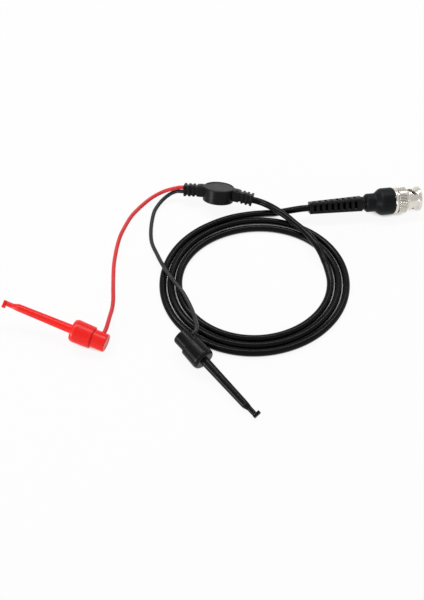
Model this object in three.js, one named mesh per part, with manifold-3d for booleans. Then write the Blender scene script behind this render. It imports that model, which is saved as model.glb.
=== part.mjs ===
// A test lead for an oscilloscope: a bayonet coaxial plug, a coiled coaxial cable, a moulded splitter, and a
// red and a black spring hook clip on thin leads, all lying on a table top at z = 0.
// Millimetres, +Z up. Every turned piece is drawn along its own +X axis and its group then lays it down.
import * as THREE from 'three';
import { mergeVertices } from 'three/addons/utils/BufferGeometryUtils.js';
import Module from 'manifold-3d';

const wasm = await Module();
wasm.setup();

// Shared clearances
const seatGap = 0.3; // between two pieces that touch on the real object
const runGap = 0.2; // between two pieces that slide or turn on each other
const overrun = 2; // how far a cutter stands out of what it cuts

// Facets round a turned piece
const fineSides = 36;
const plainSides = 24;
const smallSides = 12;

// Cables
const coax = { radius: 1.8, coreRadius: 1.1, wireRadius: 0.3, sides: 8, coilSides: 6 };
const lead = { radius: 1.05, sides: 8 };

// Coupling nut of the plug, from its front face backwards
const nut = {
  rimRadius: 6.6, rimLength: 2, rimChamfer: 0.5,
  sleeveRadius: 5.7, sleeveLength: 5,
  coneLength: 0.7,
  knurlRadius: 7.2, knurlLength: 4.7, knurlDepth: 0.3, knurlChamfer: 0.6, teeth: 52,
  ringRadius: 7, ringLength: 2.2, grooveLength: 0.35, grooveDepth: 0.45, ringChamfer: 0.35,
  boreRadius: 4.9, rearWall: 2.6,
  lugRadius: 5.55, lugWidth: 2.4,
  rampSetBack: 0.15, rampStart: 70, rampTurn: 42, rampRise: 2.6, rampHalfWidth: 1.1, rampSteps: 6,
  detentRadius: 1.35, keyHoleRadius: 0.5, keyHoleAngle: -16,
};
nut.length = nut.rimLength + nut.sleeveLength + nut.coneLength + nut.knurlLength + nut.ringLength;

// Connector body inside the nut
const body = {
  frontStep: 0.6, fingerRadius: 4.05, fingerWall: 0.6, fingerLength: 8, slotWidth: 0.5, slotLength: 6,
  flangeLength: 1.6, stemRadius: 3.8, stemBore: 2.2, stemBehindNut: 5, shoulder: 0.6, spigotRoom: 8,
  postRadius: 2.3, postBore: 1.5, postLength: 5,
};
body.flangeRadius = nut.boreRadius - seatGap;
const gasket = { length: 0.7 };
const insulator = { noseRadius: 2.3, noseLength: 2, collarLength: 0.75, spigotLength: 7.25, bore: 0.95 };
const pin = {
  radius: 0.68, tipLength: 0.9, tipRadius: 0.3, setBack: 1.4, length: 13.8, cupRadius: 0.5, cupDepth: 2.4,
};
const thrustWasher = { thickness: 0.3 };
const waveWasher = { thickness: 0.25, wave: 0.27, waves: 3, steps: 24 };
const bushing = { radius: 5.6, length: 4.2 };
const ferrule = { wall: 0.5, length: 7.5, gripLength: 2.5 };

// Moulded rear of the plug
const backshell = {
  radius: 7.3, straight: 6.95, frontChamfer: 0.7, frontChamferDepth: 0.35,
  taper: 3.05, collarRadius: 5, collarLength: 5.35, collarChamfer: 1, collarStep: 0.8,
  cavityRadius: 5.9, cavityDepth: 6.4, rearBore: 3.4,
};
const relief = {
  neckRadius: 3.7, neckLength: 2, spigotRadius: 3.1, lap: 1,
  length: 28.5, frontHalf: 3.8, rearHalf: 3, frontCorner: 1.6, rearCorner: 1.2, cornerSteps: 2,
  rows: 8, pitch: 3.18, windowLength: 1.5, windowHalf: 2.2, frontRing: 2.8, roll: -35,
};

// Splitter, along the cable, with its disc at the middle. Its sleeves droop from the rim of the disc
const splitter = {
  discRadius: 8.5, discHeight: 8, discEdge: 0.4, dishRadius: 7.5, dishDepth: 0.25,
  coaxDroop: 8, leadDroop: 5, sleeveRise: 0.5, rootLap: 1,
  blockLength: 3.4, blockHalfWidth: 3.1, blockHalfHeight: 3, blockCorner: 0.9,
  padLength: 1.9, padHalfWidth: 1.8, padRise: 0.3,
  ribs: 3, ribLength: 1.3, ribGap: 1.1, ribHalf: 3.1, ribCorner: 1, coreHalf: 2.45, coreCorner: 0.8,
  tieReach: 2.85, tieHalfWidth: 1.5,
  cavityHalfLength: 6, cavityHalfWidth: 3.3, cavityHalfHeight: 2.9, tailReach: 0.5,
  leadSpacing: 2.3, jointRadius: 0.55, cornerSteps: 1,
};

// Spring hook clip, from the rear face of its collar towards the tip
const clip = {
  collarRadius: 5.75, collarRearRadius: 5.45, collarLength: 10.65, collarRound: 1.9, collarRoundDepth: 0.9,
  collarRearEdge: 0.3, collarWall: 0.95, cavityDepth: 8, roundSteps: 3,
  barrelRearRadius: 2.25, barrelFrontRadius: 1.85, barrelLength: 29, taperLength: 2.65,
  neckRadius: 1.25, neckLength: 3.2, neckLap: 1, hookOffset: 0.3, hookBore: 0.7,
  footThickness: 1.5, footTop: 1, footReach: 1.3, footHalfWidth: 1.05, grooveHalfWidth: 0.7, grooveEnd: 0.4,
  buttonRadius: 4.5, buttonOut: 7.3, buttonRound: 1.1, buttonSkirt: 4.2, buttonWall: 1,
  buttonSeat: 2, wellRadius: 1.6, wellDepth: 5.6,
  leadSetBack: 3.9, leadDepth: 3, jointRadius: 1.2, jointLength: 2.8, stubRadius: 0.55,
  rodRadius: 0.4, springTurns: 7, springRadius: 2.4, springWire: 0.25, springSteps: 8, springSides: 5,
};

// Where the assemblies lie. A heading turns about +Z from +X, a pitch lifts the +X end, a roll turns about
// +X, and a lead turn is the angle from the hook foot to the hole that the lead comes out of
const lay = {
  plug: { x: 106.76, y: 60.01, heading: 6.7, pitch: 0, roll: 0 },
  splitter: { x: -2.3, y: 63.8, heading: -10.7, pitch: 0, roll: -27 },
  red: { x: -63.4, y: -30.6, heading: 159.4, pitch: 8.6, roll: 60, leadTurn: -160 },
  black: { x: -16.1, y: -35.9, heading: -49.7, pitch: -5.8, roll: 112, leadTurn: -7 },
};

// The coil lies in one layer and winds inwards from the top, anticlockwise as seen from above. Its turns
// are ovals whose long way is askew, its first strand cuts the corner beside the top, its strands lie
// further apart at the top than at the bottom, and its inner end climbs to cross the others. Fades, steps
// and the places and widths of the cut corner and the climb are in turns
const coil = {
  x: 16.9, y: 7, steps: 67, stepsPerTurn: 24, endShare: 0.001, climb: 1.3, climbShare: 0.07,
  halfLength: 47.4, lengthPitch: 3.92, halfWidth: 47.89, widthPitch: 4.89, topWiden: 0.51, topSpread: 0.6,
  skew: 1.82, skewAngle: 16.1, skewFade: 0.112, cornerDepth: 0.85, cornerPlace: 0.069, cornerWidth: 0.073,
};

// Points that the free stretches pass between their two ends, which the pieces they meet set
const via = {
  coaxPlug: [[37.4, 52.6, 6], [32.8, 53.2, 4.1], [28.6, 53.9, 2.3]],
  coaxSplitter: [
    [48.6, 28.7, 5.5], [45.6, 33.8, 5.9], [42, 38.6, 6.1], [38.3, 42.5, 6.4], [34.2, 47, 6.8],
    [30.6, 50.2, 7], [27, 53.6, 6.8], [23.6, 56.6, 6.2],
  ],
  red: [
    [-25.5, 67.6, 7.6], [-29, 67.4, 6.7], [-32.5, 67.4, 5.1], [-36.3, 66.7, 3.3], [-40.2, 64.7, 1.9],
    [-44.9, 59.9, 1.2], [-49.5, 53, 1.2], [-52.8, 45, 1.2], [-55.2, 36.8, 1.2], [-56.9, 20.2, 1.2],
    [-56.3, 3.7, 1.2], [-55.7, -4.2, 1.5], [-55.7, -10.4, 2.2], [-56.3, -16.3, 3.6],
  ],
  black: [
    [-24.9, 67.4, 5.3], [-27.7, 67.1, 4.4], [-30.5, 65.7, 3.4], [-33.2, 63.4, 2.4], [-36, 59.3, 1.6],
    [-37.5, 55.5, 1.3], [-38.7, 43.7, 1.2], [-37.9, 33.6, 1.6], [-34.7, 24, 3.2], [-30.8, 14.2, 5],
    [-25.7, 5.2, 5.2], [-20.7, -2.6, 5.2], [-17.2, -10.1, 5.2], [-14.9, -16.9, 5.8], [-14, -21.3, 7],
    [-13.3, -25.4, 8.4],
  ],
};
const stepDiameters = 2.2; // length of one step of a free stretch, in diameters

const degrees = THREE.MathUtils.degToRad;

// A closed mesh as a solid that can be cut and joined
function solidOf(geometry) {
  const bare = geometry.clone();
  bare.deleteAttribute('normal');
  bare.deleteAttribute('uv');
  const merged = mergeVertices(bare);
  return new wasm.Manifold(new wasm.Mesh({
    numProp: 3,
    vertProperties: merged.attributes.position.array,
    triVerts: new Uint32Array(merged.index.array),
  }));
}

function geometryOf(solid) {
  const mesh = solid.getMesh();
  const geometry = new THREE.BufferGeometry();
  geometry.setAttribute('position', new THREE.BufferAttribute(mesh.vertProperties, 3));
  geometry.setIndex(new THREE.BufferAttribute(mesh.triVerts, 1));
  return geometry;
}

// The first geometry with the others joined on
function join(first, ...others) {
  return geometryOf(others.reduce((whole, other) => whole.add(solidOf(other)), solidOf(first)));
}

// The first geometry with the others cut out
function cut(first, ...others) {
  return geometryOf(others.reduce((whole, other) => whole.subtract(solidOf(other)), solidOf(first)));
}

// A profile of [axial, radius] points turned about +X. It starts and ends on the axis, or closes on itself
function turned(profile, sides = plainSides, closed = false) {
  const points = profile.map(([axial, radius]) => new THREE.Vector2(radius, axial));
  if (closed) points.push(points[0].clone());
  return new THREE.LatheGeometry(points, sides).rotateZ(-Math.PI / 2);
}

// A straight bar on the X axis from one station to another
function bar(from, to, radius, sides = plainSides) {
  return turned([[from, 0], [from, radius], [to, radius], [to, 0]], sides);
}

// A tube on the X axis, open at both ends
function sleeve(from, to, outer, inner, sides = plainSides) {
  return turned([[from, inner], [from, outer], [to, outer], [to, inner]], sides, true);
}

// A closed skin over loops of points that have the same count, with flat ends, or joined into a ring
function loft(loops, ring = false) {
  const count = loops[0].length;
  const positions = loops.flatMap((loop) => loop.flatMap((p) => [p.x, p.y, p.z]));
  const faces = [];
  const spans = ring ? loops.length : loops.length - 1;
  for (let i = 0; i < spans; i++) {
    const near = i * count;
    const far = ((i + 1) % loops.length) * count;
    for (let j = 0; j < count; j++) {
      const k = (j + 1) % count;
      faces.push(near + j, near + k, far + k, near + j, far + k, far + j);
    }
  }
  if (!ring) {
    const last = (loops.length - 1) * count;
    for (let j = 1; j < count - 1; j++) {
      faces.push(0, j + 1, j, last, last + j, last + j + 1);
    }
  }
  const geometry = new THREE.BufferGeometry();
  geometry.setAttribute('position', new THREE.Float32BufferAttribute(positions, 3));
  geometry.setIndex(faces);
  return geometry;
}

// The corners of a rounded rectangle across the X axis at a station
function roundedLoop(x, halfY, halfZ, corner, steps) {
  const loop = [];
  for (let quarter = 0; quarter < 4; quarter++) {
    const sideY = quarter === 0 || quarter === 3 ? 1 : -1;
    const sideZ = quarter < 2 ? 1 : -1;
    for (let i = 0; i <= steps; i++) {
      const angle = (quarter + i / steps) * Math.PI / 2;
      const y = sideY * (halfY - corner) + corner * Math.cos(angle);
      const z = sideZ * (halfZ - corner) + corner * Math.sin(angle);
      loop.push(new THREE.Vector3(x, y, z));
    }
  }
  return loop;
}

// A bar of rounded rectangular section, whose corners are one facet each
function prism(from, to, halfY, halfZ, corner) {
  return loft([from, to].map((x) => roundedLoop(x, halfY, halfZ, corner, splitter.cornerSteps)));
}

function box(from, to, halfY, halfZ) {
  return new THREE.BoxGeometry(to - from, 2 * halfY, 2 * halfZ).translate((from + to) / 2, 0, 0);
}

// A section of some sides carried along a curve
function tube(curve, radius, sides, steps) {
  const section = new THREE.Shape();
  for (let i = 0; i < sides; i++) {
    const angle = 2 * Math.PI * (i + 1 / 2) / sides;
    const [x, y] = [radius * Math.cos(angle), radius * Math.sin(angle)];
    if (i) section.lineTo(x, y);
    else section.moveTo(x, y);
  }
  return new THREE.ExtrudeGeometry(section, { steps, bevelEnabled: false, extrudePath: curve });
}

function piece(name, geometry, colour, roughness, metalness) {
  const material = new THREE.MeshStandardMaterial({ color: colour, roughness, metalness });
  const mesh = new THREE.Mesh(geometry, material);
  mesh.name = name;
  return mesh;
}

// Finishes, from the photograph
const nickel = [0xc9c5bb, 0.28, 1];
const brass = [0xb8963e, 0.35, 1];
const steel = [0xa9abad, 0.35, 1];
const copper = [0xb4663c, 0.4, 1];
const whitePlastic = [0xf1f0ea, 0.5, 0];
const redRubber = [0xb23a34, 0.7, 0];
const blackPlastic = [0x17181a, 0.45, 0];
const blackRubber = [0x141416, 0.55, 0];
const blackJacket = [0x101012, 0.3, 0];
const redPlastic = [0xe8201a, 0.35, 0];
const redJacket = [0xd63c40, 0.4, 0];

// Stations behind the front face of the nut, which is at x = 0
const rimBack = -nut.rimLength;
const sleeveBack = rimBack - nut.sleeveLength;
const coneBack = sleeveBack - nut.coneLength;
const knurlBack = coneBack - nut.knurlLength;
const rampFront = rimBack - nut.rampSetBack - nut.rampHalfWidth;
const nutBack = -nut.length;
const boreFloor = nutBack + nut.rearWall;
const fingerRoot = -body.frontStep - body.fingerLength;
const flangeBack = fingerRoot - body.flangeLength;
const stemBack = nutBack - body.stemBehindNut;
const postBack = stemBack - body.postLength;
const shellFront = nutBack - seatGap;
const shellTaperFront = shellFront - backshell.straight;
const shellTaperBack = shellTaperFront - backshell.taper;
const shellBack = shellTaperBack - backshell.collarLength;
const bodyFloor = fingerRoot + body.shoulder;
const spigotFloor = bodyFloor - body.spigotRoom;
const pinBack = -pin.setBack - pin.length;
const ferruleFront = stemBack - seatGap;
const ferruleBack = ferruleFront - ferrule.length;
const jacketBore = coax.radius + seatGap;
const reliefFront = shellBack - relief.neckLength;
const reliefBack = reliefFront - relief.length;

function knurledBand() {
  const outline = new THREE.Shape();
  const shares = [[0, nut.knurlRadius - nut.knurlDepth], [0.3, nut.knurlRadius], [0.7, nut.knurlRadius]];
  for (let tooth = 0; tooth < nut.teeth; tooth++) {
    shares.forEach(([share, radius], i) => {
      const angle = 2 * Math.PI * (tooth + share) / nut.teeth;
      const [x, y] = [radius * Math.cos(angle), radius * Math.sin(angle)];
      if (tooth || i) outline.lineTo(x, y);
      else outline.moveTo(x, y);
    });
  }
  const band = new THREE.ExtrudeGeometry(outline, { depth: nut.knurlLength, bevelEnabled: false });
  const bound = turned([
    [knurlBack - overrun, 0], [knurlBack - overrun, nut.knurlRadius + overrun],
    [coneBack - nut.knurlChamfer - overrun, nut.knurlRadius + overrun],
    [coneBack, nut.knurlRadius - nut.knurlChamfer], [coneBack, 0],
  ], fineSides);
  return geometryOf(solidOf(band.rotateY(Math.PI / 2).translate(knurlBack, 0, 0)).intersect(solidOf(bound)));
}

// One of the two helical slots, cut through the sleeve from behind the rim back to the detent
function rampCutter(turn) {
  const loops = [];
  const inner = nut.boreRadius - seatGap;
  const outer = nut.sleeveRadius + nut.coneLength;
  for (let i = 0; i <= nut.rampSteps; i++) {
    const share = i / nut.rampSteps;
    const angle = degrees(nut.rampStart + nut.rampTurn * share) + turn;
    const middle = rampFront - nut.rampRise * share;
    const corner = (x, radius) => new THREE.Vector3(x, -radius * Math.cos(angle), radius * Math.sin(angle));
    loops.push([
      corner(middle - nut.rampHalfWidth, inner), corner(middle - nut.rampHalfWidth, outer),
      corner(middle + nut.rampHalfWidth, outer), corner(middle + nut.rampHalfWidth, inner),
    ]);
  }
  return loft(loops);
}

// A radial drill through one wall of the nut at a station and an angle up from the -Y side
function wallDrill(x, angle, radius) {
  const reach = nut.sleeveRadius + overrun;
  const drill = new THREE.CylinderGeometry(radius, radius, reach, smallSides).translate(0, reach / 2, 0);
  return drill.rotateX(Math.PI - angle).translate(x, 0, 0);
}

function couplingNut() {
  const grooveBack = knurlBack - nut.grooveLength;
  const rough = turned([
    [nutBack, 0], [nutBack, nut.ringRadius - nut.ringChamfer],
    [nutBack + nut.ringChamfer, nut.ringRadius], [grooveBack, nut.ringRadius],
    [grooveBack, nut.ringRadius - nut.grooveDepth], [coneBack, nut.ringRadius - nut.grooveDepth],
    [sleeveBack, nut.sleeveRadius],
    [rimBack, nut.sleeveRadius], [rimBack, nut.rimRadius],
    [-nut.rimChamfer, nut.rimRadius], [0, nut.rimRadius - nut.rimChamfer], [0, 0],
  ], fineSides);
  const cutters = [
    bar(boreFloor, overrun, nut.boreRadius, fineSides),
    bar(nutBack - overrun, boreFloor + overrun, body.stemRadius + runGap + seatGap, fineSides),
    wallDrill((sleeveBack + rimBack) / 2, degrees(nut.keyHoleAngle), nut.keyHoleRadius),
  ];
  for (const turn of [0, Math.PI]) {
    const start = degrees(nut.rampStart) + turn;
    const end = start + degrees(nut.rampTurn);
    const channel = new THREE.BoxGeometry(overrun - rampFront, nut.lugWidth, nut.lugRadius);
    channel.translate((overrun + rampFront) / 2, 0, nut.lugRadius / 2);
    cutters.push(rampCutter(turn));
    cutters.push(channel.rotateX(Math.PI / 2 - start));
    cutters.push(wallDrill(rampFront - nut.rampRise, end, nut.detentRadius));
  }
  return cut(join(rough, knurledBand()), ...cutters);
}

function connectorBody() {
  const front = -body.frontStep;
  const fingerBore = body.fingerRadius - body.fingerWall;
  const rough = turned([
    [postBack, body.postBore], [postBack, body.postRadius], [stemBack, body.postRadius],
    [stemBack, body.stemRadius], [flangeBack, body.stemRadius], [flangeBack, body.flangeRadius],
    [fingerRoot, body.flangeRadius], [fingerRoot, body.fingerRadius], [front, body.fingerRadius],
    [front, fingerBore], [bodyFloor, fingerBore], [bodyFloor, body.stemBore],
    [spigotFloor, body.stemBore], [spigotFloor, body.postBore],
  ], plainSides, true);
  const slotBack = front - body.slotLength;
  const across = box(slotBack, overrun, body.slotWidth / 2, body.fingerRadius + overrun);
  const level = box(slotBack, overrun, body.fingerRadius + overrun, body.slotWidth / 2);
  return cut(rough, across, level);
}

function insulatorTube() {
  const shoulder = bodyFloor + seatGap;
  const collarFront = shoulder + insulator.collarLength;
  const noseFront = collarFront + insulator.noseLength;
  const spigotBack = shoulder - insulator.spigotLength;
  const spigotRadius = body.stemBore - seatGap;
  const collarRadius = body.fingerRadius - body.fingerWall - seatGap;
  return turned([
    [spigotBack, insulator.bore], [spigotBack, spigotRadius], [shoulder, spigotRadius],
    [shoulder, collarRadius], [collarFront, collarRadius], [collarFront, insulator.noseRadius],
    [noseFront, insulator.noseRadius], [noseFront, insulator.bore],
  ], plainSides, true);
}

function centrePin() {
  const tip = -pin.setBack;
  const cupFloor = pinBack + pin.cupDepth;
  return turned([
    [cupFloor, 0], [cupFloor, pin.cupRadius], [pinBack, pin.cupRadius], [pinBack, pin.radius],
    [tip - pin.tipLength, pin.radius], [tip, pin.tipRadius], [tip, 0],
  ], smallSides);
}

// A ring bent up and down along the axis, between the flange and the flat washer
function waveRing() {
  const middle = (flangeBack + boreFloor + seatGap + thrustWasher.thickness) / 2;
  const inner = body.stemRadius + seatGap;
  const outer = nut.boreRadius - runGap;
  const loops = [];
  for (let i = 0; i < waveWasher.steps; i++) {
    const angle = 2 * Math.PI * i / waveWasher.steps;
    const x = middle + waveWasher.wave * Math.cos(waveWasher.waves * angle);
    const corner = (side, radius) => new THREE.Vector3(
      x + side * waveWasher.thickness / 2,
      radius * Math.cos(angle),
      radius * Math.sin(angle),
    );
    loops.push([corner(-1, inner), corner(1, inner), corner(1, outer), corner(-1, outer)]);
  }
  return loft(loops, true);
}

function crimpFerrule() {
  const step = ferruleBack + ferrule.gripLength;
  const postBore = body.postRadius + seatGap;
  return turned([
    [ferruleBack, jacketBore], [ferruleBack, jacketBore + ferrule.wall],
    [step - ferrule.wall, jacketBore + ferrule.wall],
    [step, postBore + ferrule.wall], [ferruleFront, postBore + ferrule.wall], [ferruleFront, postBore],
    [step, postBore], [step, jacketBore],
  ], plainSides, true);
}

function plugBackshell() {
  const cavityFloor = shellFront - backshell.cavityDepth;
  return turned([
    [shellBack, backshell.rearBore], [shellBack, backshell.collarRadius - backshell.collarStep],
    [shellBack + backshell.collarChamfer, backshell.collarRadius], [shellTaperBack, backshell.collarRadius],
    [shellTaperFront, backshell.radius], [shellFront - backshell.frontChamfer, backshell.radius],
    [shellFront, backshell.radius - backshell.frontChamferDepth], [shellFront, backshell.cavityRadius],
    [cavityFloor, backshell.cavityRadius], [cavityFloor, backshell.rearBore],
  ], fineSides, true);
}

// The rubber sleeve of rounded square section, with rows of windows through its four faces
function strainRelief() {
  const neckFront = shellBack - seatGap;
  const spigotFront = ferruleBack - seatGap;
  const sleeveLoops = [
    roundedLoop(reliefBack, relief.rearHalf, relief.rearHalf, relief.rearCorner, relief.cornerSteps),
    roundedLoop(reliefFront, relief.frontHalf, relief.frontHalf, relief.frontCorner, relief.cornerSteps),
  ];
  const rough = join(
    loft(sleeveLoops),
    bar(reliefFront - relief.lap, neckFront, relief.neckRadius),
    bar(neckFront - relief.lap, spigotFront, relief.spigotRadius),
  );
  const cutters = [bar(reliefBack - overrun, spigotFront + overrun, jacketBore)];
  for (let row = 0; row < relief.rows; row++) {
    const front = reliefFront - relief.frontRing - row * relief.pitch;
    const back = front - relief.windowLength;
    cutters.push(box(back, front, relief.windowHalf, relief.frontHalf + overrun));
    cutters.push(box(back, front, relief.frontHalf + overrun, relief.windowHalf));
  }
  return cut(rough, ...cutters).rotateX(degrees(relief.roll));
}

function coreEnd() {
  const front = pinBack - seatGap;
  const wireFront = pinBack + pin.cupDepth - seatGap;
  return turned([
    [postBack, 0], [postBack, coax.coreRadius], [front, coax.coreRadius],
    [front, coax.wireRadius], [wireFront, coax.wireRadius], [wireFront, 0],
  ], smallSides);
}

function plug() {
  const washerBack = boreFloor + seatGap;
  const washerOuter = nut.boreRadius - runGap;
  const stemRoom = body.stemRadius + seatGap;
  const bushingFront = shellFront - seatGap;
  const gasketBack = fingerRoot + seatGap;
  const seal = sleeve(gasketBack, gasketBack + gasket.length, washerOuter, body.fingerRadius + runGap);
  const flatRing = sleeve(washerBack, washerBack + thrustWasher.thickness, washerOuter, stemRoom);
  const bush = sleeve(bushingFront - bushing.length, bushingFront, bushing.radius, stemRoom);
  const group = new THREE.Group();
  group.add(
    piece('coupling_nut', couplingNut(), ...nickel),
    piece('connector_body', connectorBody(), ...nickel),
    piece('gasket', seal, ...redRubber),
    piece('insulator', insulatorTube(), ...whitePlastic),
    piece('centre_pin', centrePin(), ...brass),
    piece('wave_washer', waveRing(), ...steel),
    piece('thrust_washer', flatRing, ...steel),
    piece('rear_bushing', bush, ...brass),
    piece('crimp_ferrule', crimpFerrule(), ...nickel),
    piece('backshell', plugBackshell(), ...blackPlastic),
    piece('strain_relief', strainRelief(), ...blackRubber),
    piece('coax_plug_tail', bar(reliefBack, postBack - seatGap, coax.radius, smallSides), ...blackJacket),
    piece('coax_core_end', coreEnd(), ...whitePlastic),
  );
  return group;
}

const ribPitch = splitter.ribGap + splitter.ribLength;
const sleeveEnd = splitter.discRadius + splitter.blockLength + splitter.ribs * ribPitch;
const tailEnd = splitter.cavityHalfLength - splitter.tailReach;

// Moves what is built straight along X, on one side of the disc, to where the drooping sleeve has it
function droop(side) {
  const move = new THREE.Matrix4().makeTranslation(side * splitter.discRadius, 0, splitter.sleeveRise);
  const angle = side > 0 ? degrees(splitter.coaxDroop) : -degrees(splitter.leadDroop);
  move.multiply(new THREE.Matrix4().makeRotationY(angle));
  return move.multiply(new THREE.Matrix4().makeTranslation(-side * splitter.discRadius, 0, 0));
}

// The ribbed sleeve on one side of the disc. Ties cross the gaps before the ribs, by turns on the front and
// back of the sleeve and on its top and bottom
function splitterSleeve(side) {
  const span = (near, far) => (side > 0 ? [near, far] : [-far, -near]);
  const root = splitter.discRadius - splitter.rootLap;
  const blockEnd = splitter.discRadius + splitter.blockLength;
  const padEnd = blockEnd - splitter.ribGap;
  const padHalf = splitter.blockHalfHeight + splitter.padRise;
  const rib = [splitter.ribHalf, splitter.ribHalf];
  const parts = [
    prism(...span(root, blockEnd), splitter.blockHalfWidth, splitter.blockHalfHeight, splitter.blockCorner),
    box(...span(padEnd - splitter.padLength, padEnd), splitter.padHalfWidth, padHalf),
    prism(...span(root, sleeveEnd), splitter.coreHalf, splitter.coreHalf, splitter.coreCorner),
  ];
  for (let i = 0; i < splitter.ribs; i++) {
    const near = blockEnd + splitter.ribGap + i * ribPitch;
    const middle = near + splitter.ribLength / 2;
    const tie = [splitter.tieReach, splitter.tieHalfWidth];
    if (i % 2 === 1) tie.reverse();
    parts.push(
      prism(...span(near, near + splitter.ribLength), ...rib, splitter.ribCorner),
      box(...span(middle - ribPitch, middle), ...tie),
    );
  }
  return join(...parts).applyMatrix4(droop(side));
}

function splitterBody() {
  const half = splitter.discHeight / 2;
  const { discRadius, discEdge, dishRadius, dishDepth } = splitter;
  const disc = turned([
    [dishDepth - half, 0], [dishDepth - half, dishRadius - dishDepth], [-half, dishRadius],
    [-half, discRadius - discEdge], [discEdge - half, discRadius], [half - discEdge, discRadius],
    [half, discRadius - discEdge], [half, dishRadius], [half - dishDepth, dishRadius - dishDepth],
    [half - dishDepth, 0],
  ], fineSides).rotateY(-Math.PI / 2);
  const innerEnd = tailEnd - seatGap;
  const leadBore = (side) => bar(-sleeveEnd - overrun, -innerEnd, lead.radius + runGap, plainSides)
    .translate(0, 0, side * splitter.leadSpacing / 2).applyMatrix4(droop(-1));
  const reach = splitter.cavityHalfLength;
  return cut(
    join(disc, splitterSleeve(1), splitterSleeve(-1)),
    box(-reach, reach, splitter.cavityHalfWidth, splitter.cavityHalfHeight),
    bar(innerEnd, sleeveEnd + overrun, jacketBore).applyMatrix4(droop(1)),
    leadBore(1),
    leadBore(-1),
  );
}

// A conductor inside the splitter, from the coaxial cable to the lead on one side
function conductor(side) {
  const reach = tailEnd - 2 * seatGap;
  const wire = bar(-reach, reach, splitter.jointRadius, smallSides);
  return wire.translate(0, 0, splitter.sleeveRise + side * splitter.leadSpacing / 2);
}

function cableSplitter() {
  const coaxTail = bar(tailEnd, sleeveEnd, coax.radius, smallSides).applyMatrix4(droop(1));
  const leadTail = (side) => bar(-sleeveEnd, -tailEnd, lead.radius, smallSides)
    .translate(0, 0, side * splitter.leadSpacing / 2).applyMatrix4(droop(-1));
  const group = new THREE.Group();
  group.add(
    piece('splitter_body', splitterBody(), ...blackRubber),
    piece('coax_tail', coaxTail, ...blackJacket),
    piece('red_tail', leadTail(1), ...redJacket),
    piece('black_tail', leadTail(-1), ...blackJacket),
    piece('core_joint', conductor(1), ...copper),
    piece('shield_joint', conductor(-1), ...copper),
  );
  return group;
}

// Stations of the clip along its +X axis, with the rear face of the collar at x = 0
const barrelEnd = clip.collarLength + clip.barrelLength;
const taperEnd = barrelEnd + clip.taperLength;
const neckEnd = taperEnd + clip.neckLength;
const footRear = neckEnd + seatGap;
const hookX = footRear + clip.rodRadius;
const wellFloor = -clip.wellDepth;
const jointRear = wellFloor + seatGap;
const jointFront = jointRear + clip.jointLength;

// Collar, barrel and neck in one moulding
function clipBody() {
  const profile = [
    [0, 0], [0, clip.collarRearRadius - clip.collarRearEdge], [clip.collarRearEdge, clip.collarRearRadius],
  ];
  for (let i = 0; i <= clip.roundSteps; i++) {
    const angle = i / clip.roundSteps * Math.PI / 2;
    profile.push([
      clip.collarLength - clip.collarRound * (1 - Math.sin(angle)),
      clip.collarRadius - clip.collarRoundDepth * (1 - Math.cos(angle)),
    ]);
  }
  profile.push(
    [clip.collarLength, clip.barrelRearRadius], [barrelEnd, clip.barrelFrontRadius],
    [taperEnd, clip.neckRadius], [taperEnd, 0],
  );
  const neck = bar(taperEnd - clip.neckLap, neckEnd, clip.neckRadius).translate(0, 0, -clip.hookOffset);
  const bore = bar(0, neckEnd + overrun, clip.hookBore, smallSides).translate(0, 0, -clip.hookOffset);
  const well = bar(-overrun, clip.cavityDepth, clip.collarRadius - clip.collarWall);
  return cut(join(turned(profile), neck), well, bore);
}

// A cylinder from the axis outwards, at a station and a lead turn
function radial(x, reach, radius, turn) {
  const cylinder = new THREE.CylinderGeometry(radius, radius, reach, smallSides).translate(0, reach / 2, 0);
  return cylinder.rotateX(turn - Math.PI / 2).translate(x, 0, 0);
}

function clipButton(turn) {
  const { buttonRadius, buttonOut, buttonRound, buttonSkirt, buttonSeat, wellRadius } = clip;
  const skirtBore = buttonRadius - clip.buttonWall;
  const profile = [[-buttonOut, 0]];
  for (let i = 0; i <= clip.roundSteps; i++) {
    const angle = i / clip.roundSteps * Math.PI / 2;
    profile.push([
      buttonRound * (1 - Math.cos(angle)) - buttonOut,
      buttonRadius - buttonRound * (1 - Math.sin(angle)),
    ]);
  }
  profile.push(
    [buttonSkirt, buttonRadius], [buttonSkirt, skirtBore], [-buttonSeat, skirtBore],
    [-buttonSeat, wellRadius], [wellFloor, wellRadius], [wellFloor, 0],
  );
  const rough = turned(profile);
  return cut(rough, radial(-clip.leadSetBack, buttonRadius + overrun, lead.radius + seatGap, turn));
}

class Helix extends THREE.Curve {
  constructor(from, to, radius, turns) {
    super();
    Object.assign(this, { from, to, radius, turns });
  }

  getPoint(share, target = new THREE.Vector3()) {
    const angle = 2 * Math.PI * this.turns * share;
    const x = THREE.MathUtils.lerp(this.from, this.to, share);
    return target.set(x, this.radius * Math.cos(angle), this.radius * Math.sin(angle));
  }
}

const springCurve = new Helix(
  clip.springWire + seatGap - clip.buttonSeat,
  clip.cavityDepth - seatGap - clip.springWire,
  clip.springRadius,
  clip.springTurns,
);

// Straight wire through the barrel, bent down at its end into the groove of the foot
function hookWire() {
  const legEnd = clip.hookOffset + clip.neckRadius + clip.footReach - clip.grooveEnd - seatGap;
  const legLength = legEnd - clip.hookOffset;
  const knee = new THREE.SphereGeometry(clip.rodRadius, smallSides, smallSides / 2).translate(hookX, 0, 0);
  const leg = new THREE.CylinderGeometry(clip.rodRadius, clip.rodRadius, legLength, smallSides);
  leg.rotateX(Math.PI / 2).translate(hookX, 0, -legLength / 2);
  return join(bar(jointFront + seatGap, hookX, clip.rodRadius, smallSides), knee, leg)
    .translate(0, 0, -clip.hookOffset);
}

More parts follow.
